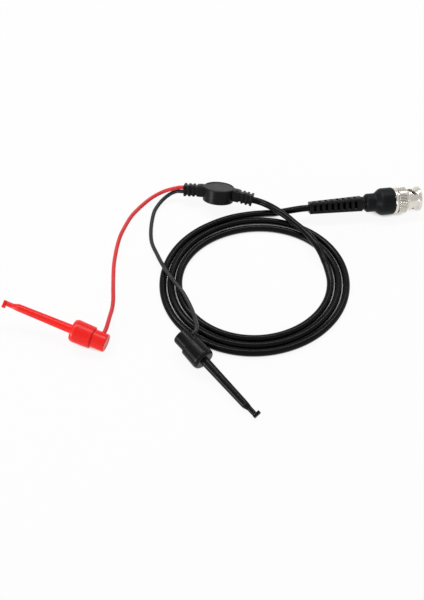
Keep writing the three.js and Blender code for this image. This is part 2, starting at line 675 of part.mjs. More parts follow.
function hookFoot() {
  const bottom = -clip.hookOffset - clip.neckRadius - clip.footReach;
  const foot = box(footRear, footRear + clip.footThickness, clip.footHalfWidth, (clip.footTop - bottom) / 2);
  foot.translate(0, 0, (clip.footTop + bottom) / 2);
  const grooveDepth = 2 * clip.rodRadius + seatGap;
  const grooveTop = clip.hookBore - clip.hookOffset;
  const grooveBottom = bottom + clip.grooveEnd;
  const grooveHalf = (grooveTop - grooveBottom) / 2;
  const groove = box(footRear - overrun, footRear + grooveDepth, clip.grooveHalfWidth, grooveHalf);
  return cut(foot, groove.translate(0, 0, grooveBottom + grooveHalf));
}

function wireJoint(turn) {
  const stub = radial(-clip.leadSetBack, clip.leadDepth - seatGap, clip.stubRadius, turn);
  return join(bar(jointRear, jointFront, clip.jointRadius, smallSides), stub);
}

function hookClip(name, place, plastic) {
  const turn = degrees(place.leadTurn);
  const spring = tube(springCurve, clip.springWire, clip.springSides, clip.springTurns * clip.springSteps);
  const group = new THREE.Group();
  group.add(
    piece(`${name}_clip_body`, clipBody(), ...plastic),
    piece(`${name}_clip_button`, clipButton(turn), ...plastic),
    piece(`${name}_clip_spring`, spring, ...steel),
    piece(`${name}_clip_hook_wire`, hookWire(), ...steel),
    piece(`${name}_clip_hook_foot`, hookFoot(), ...plastic),
    piece(`${name}_clip_wire_joint`, wireJoint(turn), ...nickel),
  );
  return group;
}

// Turns a group and lays it on the table at its place
function settle(group, place) {
  group.rotation.set(degrees(place.roll), degrees(-place.pitch), degrees(place.heading), 'ZYX');
  group.position.set(place.x, place.y, 0);
  group.updateMatrixWorld(true);
  group.position.z = -new THREE.Box3().setFromObject(group, true).min.z;
  group.updateMatrixWorld(true);
  return group;
}

// Two points straight out of a group, the first at the face that the cable meets
function exit(group, point, direction, length) {
  const start = new THREE.Vector3(...point);
  const next = start.clone().addScaledVector(new THREE.Vector3(...direction), length);
  return [start, next].map((p) => group.localToWorld(p));
}

function clipExit(group, place) {
  const turn = degrees(place.leadTurn);
  const [y, z] = [Math.sin(turn), -Math.cos(turn)];
  const point = [-clip.leadSetBack, clip.leadDepth * y, clip.leadDepth * z];
  return exit(group, point, [0, y, z], clip.buttonRadius - clip.leadDepth + 2 * lead.radius);
}

// A free stretch between two exits, through the points on its way
function stretch(start, between, end, cable) {
  const points = [...start, ...between.map((p) => new THREE.Vector3(...p)), ...end.toReversed()];
  const curve = new THREE.CatmullRomCurve3(points, false, 'centripetal');
  const steps = Math.round(curve.getLength() / (2 * cable.radius * stepDiameters));
  return { curve, geometry: tube(curve, cable.radius, cable.sides, steps) };
}

const coilTurns = coil.steps / coil.stepsPerTurn;

// The centre of the coiled cable after some turns
function coilPoint(turns) {
  const angle = Math.PI / 2 + 2 * Math.PI * turns;
  const up = Math.sin(angle);
  const skewed = coil.skew * Math.cos(2 * (angle - degrees(coil.skewAngle))) * (1 - coil.skewFade * turns);
  const corner = coil.cornerDepth * Math.exp(-(((turns - coil.cornerPlace) / coil.cornerWidth) ** 2));
  const halfLength = coil.halfLength - coil.lengthPitch * turns + skewed - corner;
  const halfWidth = coil.halfWidth + coil.topWiden * up
    - (coil.widthPitch + coil.topSpread * up) * turns + skewed - corner;
  const climbed = Math.max(0, 1 + (turns - coilTurns) / coil.climbShare);
  const z = coax.radius + coil.climb * climbed ** 2;
  return new THREE.Vector3(coil.x + halfLength * Math.cos(angle), coil.y + halfWidth * up, z);
}

// The coil's centre line, with a straight end of one diameter at each end
function coilCurve() {
  const points = [];
  for (let i = 0; i <= coil.steps; i++) points.push(coilPoint(i / coil.stepsPerTurn));
  const straight = (at, inside) => {
    const end = coilPoint(at);
    return coilPoint(inside).sub(end).setLength(-2 * coax.radius).add(end);
  };
  const first = straight(0, coil.endShare);
  const last = straight(coilTurns, coilTurns - coil.endShare);
  return new THREE.CatmullRomCurve3([first, ...points, last], false, 'centripetal');
}

// The two points at one end of the coil, seen from the stretch that meets it there across the usual gap
function coilExit(curve, end) {
  const point = curve.getPointAt(end);
  const direction = curve.getTangentAt(end).multiplyScalar(end ? 1 : -1);
  const start = point.clone().addScaledVector(direction, seatGap);
  return [start, start.clone().addScaledVector(direction, 2 * coax.radius)];
}

// The least clear distance of a tube from itself, leaving out the points next to each other along it
function leastGap(curve, radius, count, apart) {
  const points = curve.getSpacedPoints(count);
  const skip = Math.ceil(apart / (curve.getLength() / count));
  let least = Infinity;
  for (let i = 0; i < points.length; i++) {
    for (let j = i + skip; j < points.length; j++) least = Math.min(least, points[i].distanceTo(points[j]));
  }
  return least - 2 * radius;
}

const plugGroup = settle(plug(), lay.plug);
const splitterGroup = settle(cableSplitter(), lay.splitter);
const redClip = settle(hookClip('red', lay.red, redPlastic), lay.red);
const blackClip = settle(hookClip('black', lay.black, blackPlastic), lay.black);

const windings = coilCurve();
const plugExit = exit(plugGroup, [reliefBack - seatGap, 0, 0], [-1, 0, 0], 2 * coax.radius);
const sleeveExit = (side, rise, wire) => exit(
  splitterGroup,
  new THREE.Vector3(side * (sleeveEnd + seatGap), 0, rise).applyMatrix4(droop(side)),
  new THREE.Vector3(side, 0, 0).transformDirection(droop(side)),
  2 * wire.radius,
);
const splitterExit = sleeveExit(1, 0, coax);
const leadExit = (side) => sleeveExit(-1, side * splitter.leadSpacing / 2, lead);
const coaxPlug = stretch(plugExit, via.coaxPlug, coilExit(windings, 0), coax);
const coaxSplitter = stretch(coilExit(windings, 1), via.coaxSplitter, splitterExit, coax);
const redStretch = stretch(leadExit(1), via.red, clipExit(redClip, lay.red), lead);
const blackStretch = stretch(leadExit(-1), via.black, clipExit(blackClip, lay.black), lead);

const cables = new THREE.Group();
cables.add(
  piece('coax_plug_stretch', coaxPlug.geometry, ...blackJacket),
  piece('coax_coil', tube(windings, coax.radius, coax.coilSides, coil.steps), ...blackJacket),
  piece('coax_splitter_stretch', coaxSplitter.geometry, ...blackJacket),
  piece('red_lead', redStretch.geometry, ...redJacket),
  piece('black_lead', blackStretch.geometry, ...blackJacket),
);

const measurePoints = 2000;
const coilGap = leastGap(windings, coax.radius, measurePoints, 4 * coil.lengthPitch);
const springGap = leastGap(springCurve, clip.springWire, measurePoints, Math.PI * clip.springRadius);
console.log(`least gap of coax_coil to itself ${coilGap.toFixed(2)} mm`);
console.log(`least gap of a clip spring to itself ${springGap.toFixed(2)} mm`);
for (const [name, curve] of [
  ['coax_plug_stretch', coaxPlug.curve],
  ['coax_coil', windings],
  ['coax_splitter_stretch', coaxSplitter.curve],
  ['red_lead', redStretch.curve],
  ['black_lead', blackStretch.curve],
]) console.log(`${name} is ${curve.getLength().toFixed(1)} mm long`);

const group = new THREE.Group();
group.add(plugGroup, splitterGroup, redClip, blackClip, cables);

export default group;
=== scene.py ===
"""A test lead on a pale table: a bayonet plug, a coiled coaxial cable, a splitter and two hook clips."""
import math

import bmesh
import bpy
import numpy as np
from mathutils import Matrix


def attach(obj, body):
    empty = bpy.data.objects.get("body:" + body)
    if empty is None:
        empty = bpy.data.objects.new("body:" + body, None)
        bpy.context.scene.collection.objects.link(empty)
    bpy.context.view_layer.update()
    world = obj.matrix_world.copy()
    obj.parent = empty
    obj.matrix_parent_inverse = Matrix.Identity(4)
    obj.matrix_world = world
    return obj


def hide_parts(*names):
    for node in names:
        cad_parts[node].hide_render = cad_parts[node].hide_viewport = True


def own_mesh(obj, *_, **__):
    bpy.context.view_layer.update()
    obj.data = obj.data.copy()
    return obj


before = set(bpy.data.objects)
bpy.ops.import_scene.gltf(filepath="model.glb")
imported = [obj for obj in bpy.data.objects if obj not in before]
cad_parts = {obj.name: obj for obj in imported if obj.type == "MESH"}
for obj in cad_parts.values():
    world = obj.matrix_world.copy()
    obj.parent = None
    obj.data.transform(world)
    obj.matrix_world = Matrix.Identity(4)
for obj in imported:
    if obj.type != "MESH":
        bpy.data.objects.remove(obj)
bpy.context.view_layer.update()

MM = 0.001
TURN = 2 * np.pi

# Where the assemblies lie, as in the part's source: x, y, z in mm, then heading, pitch and roll in degrees
PLACES = {
    "plug": (106.76, 60.01, 7.3, 6.7, 0, 0),
    "splitter": (-2.3, 63.8, 7.2414, -10.7, 0, -27),
    "red": (-63.4, -30.6, 5.3765, 159.4, 8.6, 60),
    "black": (-16.1, -35.9, 6.5622, -49.7, -5.8, 112),
    "table": (0, 0, 0, 0, 0, 0),
}
# Angle about its clip at which each lead leaves the button
LEAD_TURN = {"red": -160, "black": -7}


# Shapes: every function works in mm in the piece's own frame, with the piece's length along +X
# A rounding takes up at most this share of a side, and has a point just outside each of its ends
MOST_OF_SIDE, JUST_OUTSIDE = 0.42, 1.15


def turn_about(axis, degrees):
    """Rotation matrix about one coordinate axis: the two other axes turn into each other by the angle."""
    c, s = math.cos(math.radians(degrees)), math.sin(math.radians(degrees))
    first, second = (axis + 1) % 3, (axis + 2) % 3
    matrix = np.eye(3)
    matrix[first, first] = matrix[second, second] = c
    matrix[second, first], matrix[first, second] = s, -s
    return matrix


def lay_of(place):
    """Rotation of a place: first the roll about X, then the pitch that lifts the X end, then the heading."""
    heading, pitch, roll = PLACES[place][3:]
    return turn_about(2, heading) @ turn_about(1, -pitch) @ turn_about(0, roll)


def laid(points, place):
    """Points of a piece's own frame, in mm, turned and moved to the place, in metres."""
    return (np.asarray(points, float) @ lay_of(place).T + PLACES[place][:3]) * MM


def soften(corners, closed=False, steps=6):
    """Profile through [along, out, round, extra] corners. Each corner gives way to a parabola that touches
    its two sides at the distance round, and a point just outside each end of it keeps the flat next to it
    flat. Returns the points, and how exposed each is: 1 in the middle of a rounding and 0 on the flats."""
    corners = np.array([tuple(c) + (0,) * (4 - len(c)) for c in corners], float)
    count = len(corners)
    points, wear_and_groove_shade = [], []
    for i in range(count):
        here, size = corners[i, [0, 1, 3]], corners[i, 2]
        if size == 0 or (not closed and i in (0, count - 1)):
            points.append(here[None])
            wear_and_groove_shade.append(np.zeros(1))
            continue
        before, after = corners[i - 1, [0, 1, 3]], corners[(i + 1) % count, [0, 1, 3]]
        back, ahead = np.linalg.norm((before - here)[:2]), np.linalg.norm((after - here)[:2])
        near, far = min(size, MOST_OF_SIDE * back) / back, min(size, MOST_OF_SIDE * ahead) / ahead
        t = np.linspace(0, 1, steps)[:, None]
        start, end = here + (before - here) * near, here + (after - here) * far
        bend = (1 - t) ** 2 * start + 2 * t * (1 - t) * here + t ** 2 * end
        lead_in = here + (before - here) * near * JUST_OUTSIDE
        lead_out = here + (after - here) * far * JUST_OUTSIDE
        points.append(np.vstack([lead_in, bend, lead_out]))
        wear_and_groove_shade.append(np.concatenate([[0], 4 * (t * (1 - t))[:, 0], [0]]))
    return np.vstack(points), np.concatenate(wear_and_groove_shade)


def skin(rows, wear_and_groove_shade=None, closed=False):
    """Skin over a grid of points: a four-sided face between neighbours, wrapping round each row. A closed
    grid also joins its last row to its first. The UV map has the distance along in mm and the share of a
    turn."""
    count, around = rows.shape[:2]
    index = np.arange(count * around).reshape(count, around)
    near, far = (index, np.roll(index, -1, 0)) if closed else (index[:-1], index[1:])
    faces = np.stack([near, np.roll(near, -1, 1), np.roll(far, -1, 1), far], -1).reshape(-1, 4)
    step = np.linalg.norm(np.roll(rows, -1, 0) - rows, axis=2).max(1)
    along = np.concatenate([[0], np.cumsum(step)])
    share = np.arange(around + 1) / around
    spans = len(near)
    u = np.stack([along[:spans], along[:spans], along[1:spans + 1], along[1:spans + 1]], -1)
    v = np.stack([share[:-1], share[1:], share[1:], share[:-1]], -1)
    uv = np.stack(np.broadcast_arrays(u[:, None, :], v[None, :, :]), -1).reshape(-1, 4, 2)
    wear_and_groove_shade = np.zeros((count, around)) if wear_and_groove_shade is None else wear_and_groove_shade
    return facing_out(rows.reshape(-1, 3), faces, uv, wear_and_groove_shade.ravel())


def facing_out(points, faces, uv, wear_and_groove_shade):
    """The same skin, with all its faces reversed if the volume that they enclose comes out negative."""
    a, b, c, d = (points[faces[:, k]] for k in range(4))
    volume = np.einsum("ij,ij->i", a, np.cross(b, c) + np.cross(c, d)).sum()
    if volume < 0:
        faces, uv = faces[:, ::-1], uv[:, ::-1]
    return points, faces, uv, wear_and_groove_shade


def turned(corners, sides=96, closed=False, groove=None, steps=6):
    """A softened profile turned once about +X: a point goes to (along, out cos a, out sin a) for a full turn
    of a. Without a groove, the profile's extra value lifts the circle's centre along Z. With one, it says
    how much of the groove, a depth for each angle, is taken off the radius. In a groove, the wear value is
    below 0, which paints shade into the groove's floor."""
    points, wear_and_groove_shade = soften(corners, closed, steps)
    angle = np.arange(sides) * TURN / sides
    out = np.repeat(points[:, 1:2], sides, 1)
    wear_and_groove_shade = np.repeat(wear_and_groove_shade[:, None], sides, 1)
    lift = points[:, 2:3]
    if groove is not None:
        depth = lift * groove(angle)
        out = out - depth
        # Painted shade: the groove's depth takes the wear value below 0, which darkens the colour in its
        # floor
        wear_and_groove_shade = wear_and_groove_shade - depth / depth.max()
        lift = 0
    along = np.repeat(points[:, :1], sides, 1)
    return skin(np.stack([along, out * np.cos(angle), out * np.sin(angle) + lift], -1), wear_and_groove_shade, closed)


def rounded_section(half_y, half_z, corner, per_corner=7):
    """Rounded rectangles in Y and Z, one for each station: every quarter is a circular arc about a centre
    set in from the corner, with three more points on the straight side after it. The result has the
    stations, their points, and Y and Z."""
    half_y, half_z, corner = (np.asarray(v, float)[:, None] for v in (half_y, half_z, corner))
    quarters = []
    for quarter in range(4):
        side_y, side_z = (1, -1, -1, 1)[quarter], (1, 1, -1, -1)[quarter]
        angle = np.linspace(quarter, quarter + 1, per_corner) * TURN / 4
        y = side_y * (half_y - corner) + corner * np.cos(angle)
        z = side_z * (half_z - corner) + corner * np.sin(angle)
        quarters.append(np.stack([y, z], -1))
    pieces = []
    for quarter in range(4):
        start, end = quarters[quarter][:, -1:], quarters[(quarter + 1) % 4][:, :1]
        share = np.array([0.08, 0.5, 0.92])[None, :, None]
        pieces += [quarters[quarter], start + (end - start) * share]
    return np.concatenate(pieces, 1)


def lofted(stations):
    """Rounded rectangles carried along +X: a station is [along, half Y, half Z, corner], and the skin runs
    over all of them, with its ends drawn in to a point."""
    section = rounded_section(stations[:, 1], stations[:, 2], stations[:, 3])
    along = np.repeat(stations[:, :1], section.shape[1], 1)
    return skin(ended(np.concatenate([along[..., None], section], -1)))


def ended(rows):
    """The same rows with each end closed by a row that lies all in the end's middle."""
    first, last = (np.repeat(rows[i].mean(0)[None], rows.shape[1], 0)[None] for i in (0, -1))
    return np.concatenate([first, rows, last])


def block(low, high, soft=0.15):
    """A box between two corners, with all its edges softened: rounded rectangles that shrink by a quarter
    circle towards both ends."""
    low, high = np.array(low, float), np.array(high, float)
    turn = np.linspace(0, TURN / 4, 5)
    inset, advance = soft * (1 - np.sin(turn)), soft * (1 - np.cos(turn))
    along = np.concatenate([low[0] + advance, high[0] - advance[::-1]])
    inset = np.concatenate([inset, inset[::-1]])
    half_y, half_z = (high[1] - low[1]) / 2 - inset, (high[2] - low[2]) / 2 - inset
    section = rounded_section(half_y, half_z, np.maximum(soft - inset, 0.01), 5)
    rows = np.concatenate([np.repeat(along[:, None], section.shape[1], 1)[..., None], section], -1)
    rows[..., 1:] += (low[1:] + high[1:]) / 2
    return skin(ended(rows))


def walled(outer, inner, solid):
    """A wall between two grids that wrap round each row, left out where a cell isn't solid. It has an outer
    and an inner face over each solid cell, and a face through the wall where a solid cell meets an empty one
    or the end."""
    count, around = outer.shape[:2]
    out = np.arange(count * around).reshape(count, around)
    inn = out + count * around
    beside = np.roll(np.arange(around), -1)
    a, b, c, d = out[:-1], out[:-1][:, beside], out[1:][:, beside], out[1:]
    faces = [np.stack([a, b, c, d], -1)[solid], np.stack([d, c, b, a], -1)[solid] + count * around]
    none = np.zeros((1, around), bool)
    before, after = np.vstack([none, solid]), np.vstack([solid, none])
    for edge, order in ((after & ~before, 1), (before & ~after, -1)):
        ring = np.stack([out[:, beside], out, inn, inn[:, beside]], -1)[edge]
        faces.append(ring[:, ::order])
    left = np.roll(solid, 1, 1)
    for edge, order in ((solid & ~left, 1), (left & ~solid, -1)):
        side = np.stack([out[:-1], out[1:], inn[1:], inn[:-1]], -1)[edge]
        faces.append(side[:, ::order])
    faces = np.concatenate(faces)
    points = np.concatenate([outer.reshape(-1, 3), inner.reshape(-1, 3)])
    angle = np.arctan2(points[:, 2], points[:, 1]) / TURN + 0.5
    uv = np.stack([points[faces][..., 0], angle[faces]], -1)
    return facing_out(points, faces, uv, np.zeros(len(points)))


def catmull_rom(points, per_span=24):
    """Smooth curve through points, as the part's source draws it: on each span a cubic whose end slopes come
    from the neighbours, with a spacing of the square root of their distance."""
    points = np.asarray(points, float)
    points = np.vstack([2 * points[0] - points[1], points, 2 * points[-1] - points[-2]])
    p0, p1, p2, p3 = points[:-3], points[1:-2], points[2:-1], points[3:]
    gap = np.sqrt(np.linalg.norm(np.diff(points, axis=0), axis=1))[:, None]
    d0, d1, d2 = gap[:-2], gap[1:-1], gap[2:]
    leave = ((p1 - p0) / d0 - (p2 - p0) / (d0 + d1) + (p2 - p1) / d1) * d1
    arrive = ((p2 - p1) / d1 - (p3 - p1) / (d1 + d2) + (p3 - p2) / d2) * d1
    t = (np.arange(per_span) / per_span)[None, :, None]
    p1, p2, leave, arrive = (v[:, None, :] for v in (p1, p2, leave, arrive))
    square, cube = 3 * (p2 - p1) - 2 * leave - arrive, 2 * (p1 - p2) + leave + arrive
    curve = p1 + leave * t + square * t ** 2 + cube * t ** 3
    return np.vstack([curve.reshape(-1, 3), points[-2]])


def spaced(line, step):
    """A line cut again at even distances, close to the step."""
    along = np.concatenate([[0], np.cumsum(np.linalg.norm(np.diff(line, axis=0), axis=1))])
    even = np.linspace(0, along[-1], max(2, round(along[-1] / step) + 1))
    return np.stack([np.interp(even, along, line[:, k]) for k in range(3)], -1)


def hose(line, radius, sides=20, up=(0, 0, 1)):
    """A round tube along a line: each ring stands across the line's direction, with one axis level to up."""
    along = np.gradient(line, axis=0)
    along /= np.linalg.norm(along, axis=1)[:, None]
    side = np.cross(along, up)
    side /= np.linalg.norm(side, axis=1)[:, None]
    over = np.cross(side, along)
    angle = np.arange(sides) * TURN / sides
    ring = side[:, None] * np.cos(angle)[None, :, None] + over[:, None] * np.sin(angle)[None, :, None]
    return skin(ended(line[:, None] + radius * ring))


def aimed(shape, direction, start):
    """A shape whose +X axis is turned to the direction and whose origin is moved to the start."""
    ahead = np.array(direction, float) / np.linalg.norm(direction)
    side = np.cross(ahead, (1, 0, 0) if abs(ahead[0]) < 0.9 else (0, 1, 0))
    side /= np.linalg.norm(side)
    matrix = np.stack([ahead, side, np.cross(ahead, side)])
    return (shape[0] @ matrix + np.array(start, float),) + shape[1:]


# Pieces

def mesh_of(name, shapes, place):
    """One mesh of several closed skins, laid at the place: poles and seams merge to single points."""
    points = laid(np.concatenate([s[0] for s in shapes]), place)
    starts = np.cumsum([0] + [len(s[0]) for s in shapes[:-1]])
    faces = np.concatenate([s[1] + start for s, start in zip(shapes, starts)])
    mesh = bpy.data.meshes.new(name)
    mesh.from_pydata(points, [], faces)
    mesh.uv_layers.new(name="UVMap").data.foreach_set("uv", np.concatenate([s[2] for s in shapes]).ravel())
    wear_and_groove_shade = mesh.attributes.new("wear_and_groove_shade", "FLOAT", "POINT")
    wear_and_groove_shade.data.foreach_set("value", np.concatenate([s[3] for s in shapes]).astype(np.float32))
    work = bmesh.new()
    work.from_mesh(mesh)
    bmesh.ops.remove_doubles(work, verts=work.verts, dist=1e-7)
    work.to_mesh(mesh)
    work.free()
    return mesh


def piece(name, shapes, place, finish, stands_for=(), body="lead_set", crease=40, cutters=()):
    """A finished piece of the lead: its mesh, less what is cut out of it, its finish and its body."""
    made = bpy.data.objects.new(name, mesh_of(name, shapes, place))
    bpy.context.scene.collection.objects.link(made)
    if cutters:
        carve(made, cutters, place)
    made.data.shade_smooth()
    made.data.set_sharp_from_angle(angle=math.radians(crease))
    made.data.materials.clear()
    made.data.materials.append(finish)
    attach(made, body)
    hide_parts(*stands_for)
    return made


def carve(made, cutters, place):
    """Cuts closed skins out of a piece, one after the other, and keeps the result as its mesh."""
    tools = []
    for shape in cutters:
        tool = bpy.data.objects.new("cutter", mesh_of("cutter", [shape], place))
        bpy.context.scene.collection.objects.link(tool)
        change = made.modifiers.new("cut", "BOOLEAN")
        change.operation, change.solver, change.object = "DIFFERENCE", "EXACT", tool
        tools.append(tool)
    bpy.context.view_layer.update()
    result = bpy.data.meshes.new_from_object(made.evaluated_get(bpy.context.evaluated_depsgraph_get()))
    made.modifiers.clear()
    made.data = result
    for tool in tools:
        bpy.data.objects.remove(tool)


# Finishes

class Finish:
    """A material under construction: its node tree, its shader, and short ways to add nodes to it."""

    def __init__(self, name, **values):
        self.material = bpy.data.materials.new(name)
        self.material.use_nodes = True
        self.nodes, self.links = self.material.node_tree.nodes, self.material.node_tree.links
        self.shader = self.nodes["Principled BSDF"]
        for socket, value in values.items():
            self.shader.inputs[socket.replace("_", " ")].default_value = value

    def add(self, kind, inputs=(), out=0, **settings):
        """A node with its settings, and its inputs given as values or as the outputs that feed them."""
        made = self.nodes.new("ShaderNode" + kind)
        for key, value in settings.items():
            setattr(made, key, value)
        for key, value in dict(inputs).items():
            if isinstance(value, bpy.types.NodeSocket):
                self.links.new(value, made.inputs[key])
            else:
                made.inputs[key].default_value = value
        return made.outputs[out]

    def feed(self, socket, value):
        self.links.new(value, self.shader.inputs[socket])

    def place(self):
        """Object coordinates in metres."""
        return self.add("TexCoord", out=3)

    def along(self, stretch):
        """The UV map, with its distance along and its turn each stretched by a factor."""
        source = self.add("UVMap", uv_map="UVMap")
        return self.add("Mapping", {"Vector": source, "Scale": (*stretch, 1)})

    def noise(self, where, scale, detail=2.0, rough=0.5):
        return self.add("TexNoise", {"Vector": where, "Scale": scale, "Detail": detail, "Roughness": rough})

    def spread(self, value, low, high, start=0.3, stop=0.7):
        """A value between start and stop mapped to low and high."""
        inputs = {"Value": value, "From Min": start, "From Max": stop, "To Min": low, "To Max": high}
        return self.add("MapRange", inputs)

    def times(self, first, second):
        return self.add("Math", {0: first, 1: second}, operation="MULTIPLY")

    def mix(self, share, first, second):
        """Two colours mixed by a share."""
        made = self.nodes.new("ShaderNodeMix")
        made.data_type = "RGBA"
        for slot, value in ((0, share), (6, first), (7, second)):
            if isinstance(value, bpy.types.NodeSocket):
                self.links.new(value, made.inputs[slot])
            else:
                made.inputs[slot].default_value = value if slot == 0 else (*value, 1)
        return made.outputs[2]

    def wear_and_groove_shade(self):
        return self.add("Attribute", out=2, attribute_name="wear_and_groove_shade")

    def bump(self, height, strength, distance, normal=None):
        inputs = {"Height": height, "Strength": strength, "Distance": distance}
        if normal is not None:
            inputs["Normal"] = normal
        return self.add("Bump", inputs)


def moulded(name, colour, shade, edge, rough, grain=0.35, depth=0.012, **values):
    """Moulded plastic or rubber: a slow drift between two colours, paler worn edges broken up by noise, a
    fine spark-eroded grain in the surface and slow changes of gloss."""
    finish = Finish(name, **values)
    where = finish.place()
    drift = finish.noise(where, 90, 3)
    fine = finish.noise(where, 1 / (grain * MM), 3, 0.6)
    tint = finish.mix(finish.spread(drift, 0, 1), colour, shade)
    rub = finish.times(finish.wear_and_groove_shade(), finish.spread(finish.noise(where, 700, 4), 0, 1, 0.38, 0.62))
    finish.feed("Base Color", finish.mix(rub, tint, edge))
    gloss = finish.spread(finish.noise(where, 240, 4), *rough)
    finish.feed("Roughness", gloss)
    finish.feed("Normal", finish.bump(fine, 0.5, depth * MM))
    return finish.material


def jacket(name, colour, shade, rough, **values):
    """Extruded cable jacket: very faint lines drawn along it by the die, and a haze of uneven colour and
    gloss that handling leaves."""
    finish = Finish(name, **values)
    lines = finish.noise(finish.along((0.012, 14)), 1, 1)
    where = finish.place()
    haze = finish.noise(where, 160, 4, 0.6)
    finish.feed("Base Color", finish.mix(finish.spread(haze, 0, 1), colour, shade))
    finish.feed("Roughness", finish.spread(haze, *rough))
    finish.feed("Normal", finish.bump(lines, 0.1, 0.002 * MM))
    return finish.material


def machined(name, colour, shade, edge, rough, painted_groove_shade=(0.1, 0.09, 0.075), **values):
    """Turned and plated metal: fine rings round the axis from the tool, cloudy changes of tone and gloss from
    handling, brighter worn edges, and painted shade, a dark colour laid into the floor of grooves."""
    finish = Finish(name, Metallic=1, **values)
    where = finish.place()
    rings = finish.noise(finish.along((7, 0.5)), 1, 2, 0.5)
    cloud = finish.noise(where, 260, 3, 0.5)
    tint = finish.mix(finish.spread(cloud, 0, 1), colour, shade)
    tint = finish.mix(finish.wear_and_groove_shade(), tint, edge)
    # Painted shade: where the wear value is below 0, in a groove's floor, the colour goes to the dark groove
    # colour
    finish.feed("Base Color", finish.mix(finish.spread(finish.wear_and_groove_shade(), 1, 0, -1, 0), tint, painted_groove_shade))
    finish.feed("Roughness", finish.spread(cloud, *rough))
    finish.feed("Normal", finish.bump(rings, 0.25, 0.004 * MM))
    return finish.material


# Specular levels of black plastic and of black rubber, where 0.5 is the usual one
SATIN, SOFT = 0.13, 0.16
NICKEL = machined("bright_nickel", (0.76, 0.72, 0.66), (0.68, 0.64, 0.58), (0.86, 0.83, 0.78), (0.15, 0.26))
PIN_GOLD = machined("pin_gold", (0.86, 0.62, 0.27), (0.74, 0.5, 0.2), (0.95, 0.74, 0.38), (0.2, 0.34))
STEEL = machined("spring_steel", (0.5, 0.5, 0.5), (0.4, 0.4, 0.41), (0.66, 0.66, 0.66), (0.24, 0.4))
COPPER = machined("bare_copper", (0.72, 0.34, 0.2), (0.55, 0.25, 0.14), (0.85, 0.45, 0.28), (0.3, 0.46))
WHITE = moulded("white_insulator", (0.84, 0.84, 0.8), (0.78, 0.78, 0.74), (0.88, 0.88, 0.85), (0.42, 0.56))
SEAL_RED = moulded("seal_rubber", (0.4, 0.045, 0.035), (0.32, 0.035, 0.03), (0.5, 0.1, 0.08), (0.6, 0.75))
SHELL_BLACK = moulded("satin_shell", (0.0032, 0.0035, 0.0045), (0.0022, 0.0025, 0.0033),
                      (0.014, 0.015, 0.018), (0.4, 0.52), Specular_IOR_Level=SATIN)
RUBBER = moulded("moulded_rubber", (0.0026, 0.0026, 0.003), (0.0018, 0.0018, 0.0021), (0.016, 0.016, 0.018),
                 (0.3, 0.42), grain=0.28, depth=0.01, Specular_IOR_Level=SOFT)
CLIP_BLACK = moulded("clip_black", (0.003, 0.003, 0.0032), (0.002, 0.002, 0.0022), (0.018, 0.018, 0.019),
                     (0.22, 0.3), depth=0.002, Specular_IOR_Level=SATIN)
CLIP_RED = moulded("clip_red", (0.95, 0.011, 0.007), (0.9, 0.009, 0.006), (0.96, 0.04, 0.025), (0.28, 0.4),
                   depth=0.002, Specular_IOR_Level=0.3)
BLACK_JACKET = jacket("black_jacket", (0.0015, 0.0015, 0.0016), (0.001, 0.001, 0.0011), (0.2, 0.28),
                      Specular_IOR_Level=0.12)
LEAD_JACKET = jacket("lead_jacket", (0.008, 0.008, 0.009), (0.006, 0.006, 0.007), (0.36, 0.46),
                     Specular_IOR_Level=0.4)
RED_JACKET = jacket("red_jacket", (0.78, 0.045, 0.05), (0.7, 0.036, 0.042), (0.28, 0.42),
                    Specular_IOR_Level=0.3)
CABLE_IN_RELIEF = moulded("cable_in_relief", (0.003, 0.003, 0.003), (0.002, 0.002, 0.002),
                          (0.003, 0.003, 0.003), (0.75, 0.85), Specular_IOR_Level=0.05)


# Camera and lamps
# Strength of the room's light on things, and of the ceiling that the camera and shiny things see
PLAIN_LIGHT, SEEN_CEILING = 0.45, 0.7


def camera():
    """A camera 430 mm from the middle of the lead, 53 degrees above the table."""
    data = bpy.data.cameras.new("camera")
    made = bpy.data.objects.new("camera", data)
    bpy.context.scene.collection.objects.link(made)
    data.lens, data.sensor_width = 51, 36
    data.clip_start, data.clip_end = 0.01, 20
    slope, distance = math.radians(53), 0.43
    made.location = (-0.0059, -0.0037 - distance * math.cos(slope), distance * math.sin(slope))
    made.rotation_euler = (TURN / 4 - slope, 0, 0)
    bpy.context.scene.camera = made


def softbox(name, spot, size, strength):
    """A rectangular lamp that looks at the middle of the lead. Strength is how white it looks by itself."""
    data = bpy.data.lights.new(name, "AREA")
    data.shape, data.size, data.size_y = "RECTANGLE", *size
    data.energy = strength * np.pi * size[0] * size[1]
    made = bpy.data.objects.new(name, data)
    bpy.context.scene.collection.objects.link(made)
    made.location = spot
    aim = np.array(spot) / np.linalg.norm(spot)
    made.rotation_euler = (math.acos(aim[2]), 0, math.atan2(aim[0], -aim[1]))


def seeing_rays(tree):
    """Socket that is 1 for camera rays and for glossy and see-through rays, and 0 for every other ray."""
    path = tree.nodes.new("ShaderNodeLightPath")
    total = path.outputs["Is Camera Ray"]
    for ray in ("Is Glossy Ray", "Is Transmission Ray"):
        add = tree.nodes.new("ShaderNodeMath")
        add.operation, add.use_clamp = "ADD", True
        tree.links.new(total, add.inputs[0])
        tree.links.new(path.outputs[ray], add.inputs[1])
        total = add.outputs[0]
    return total


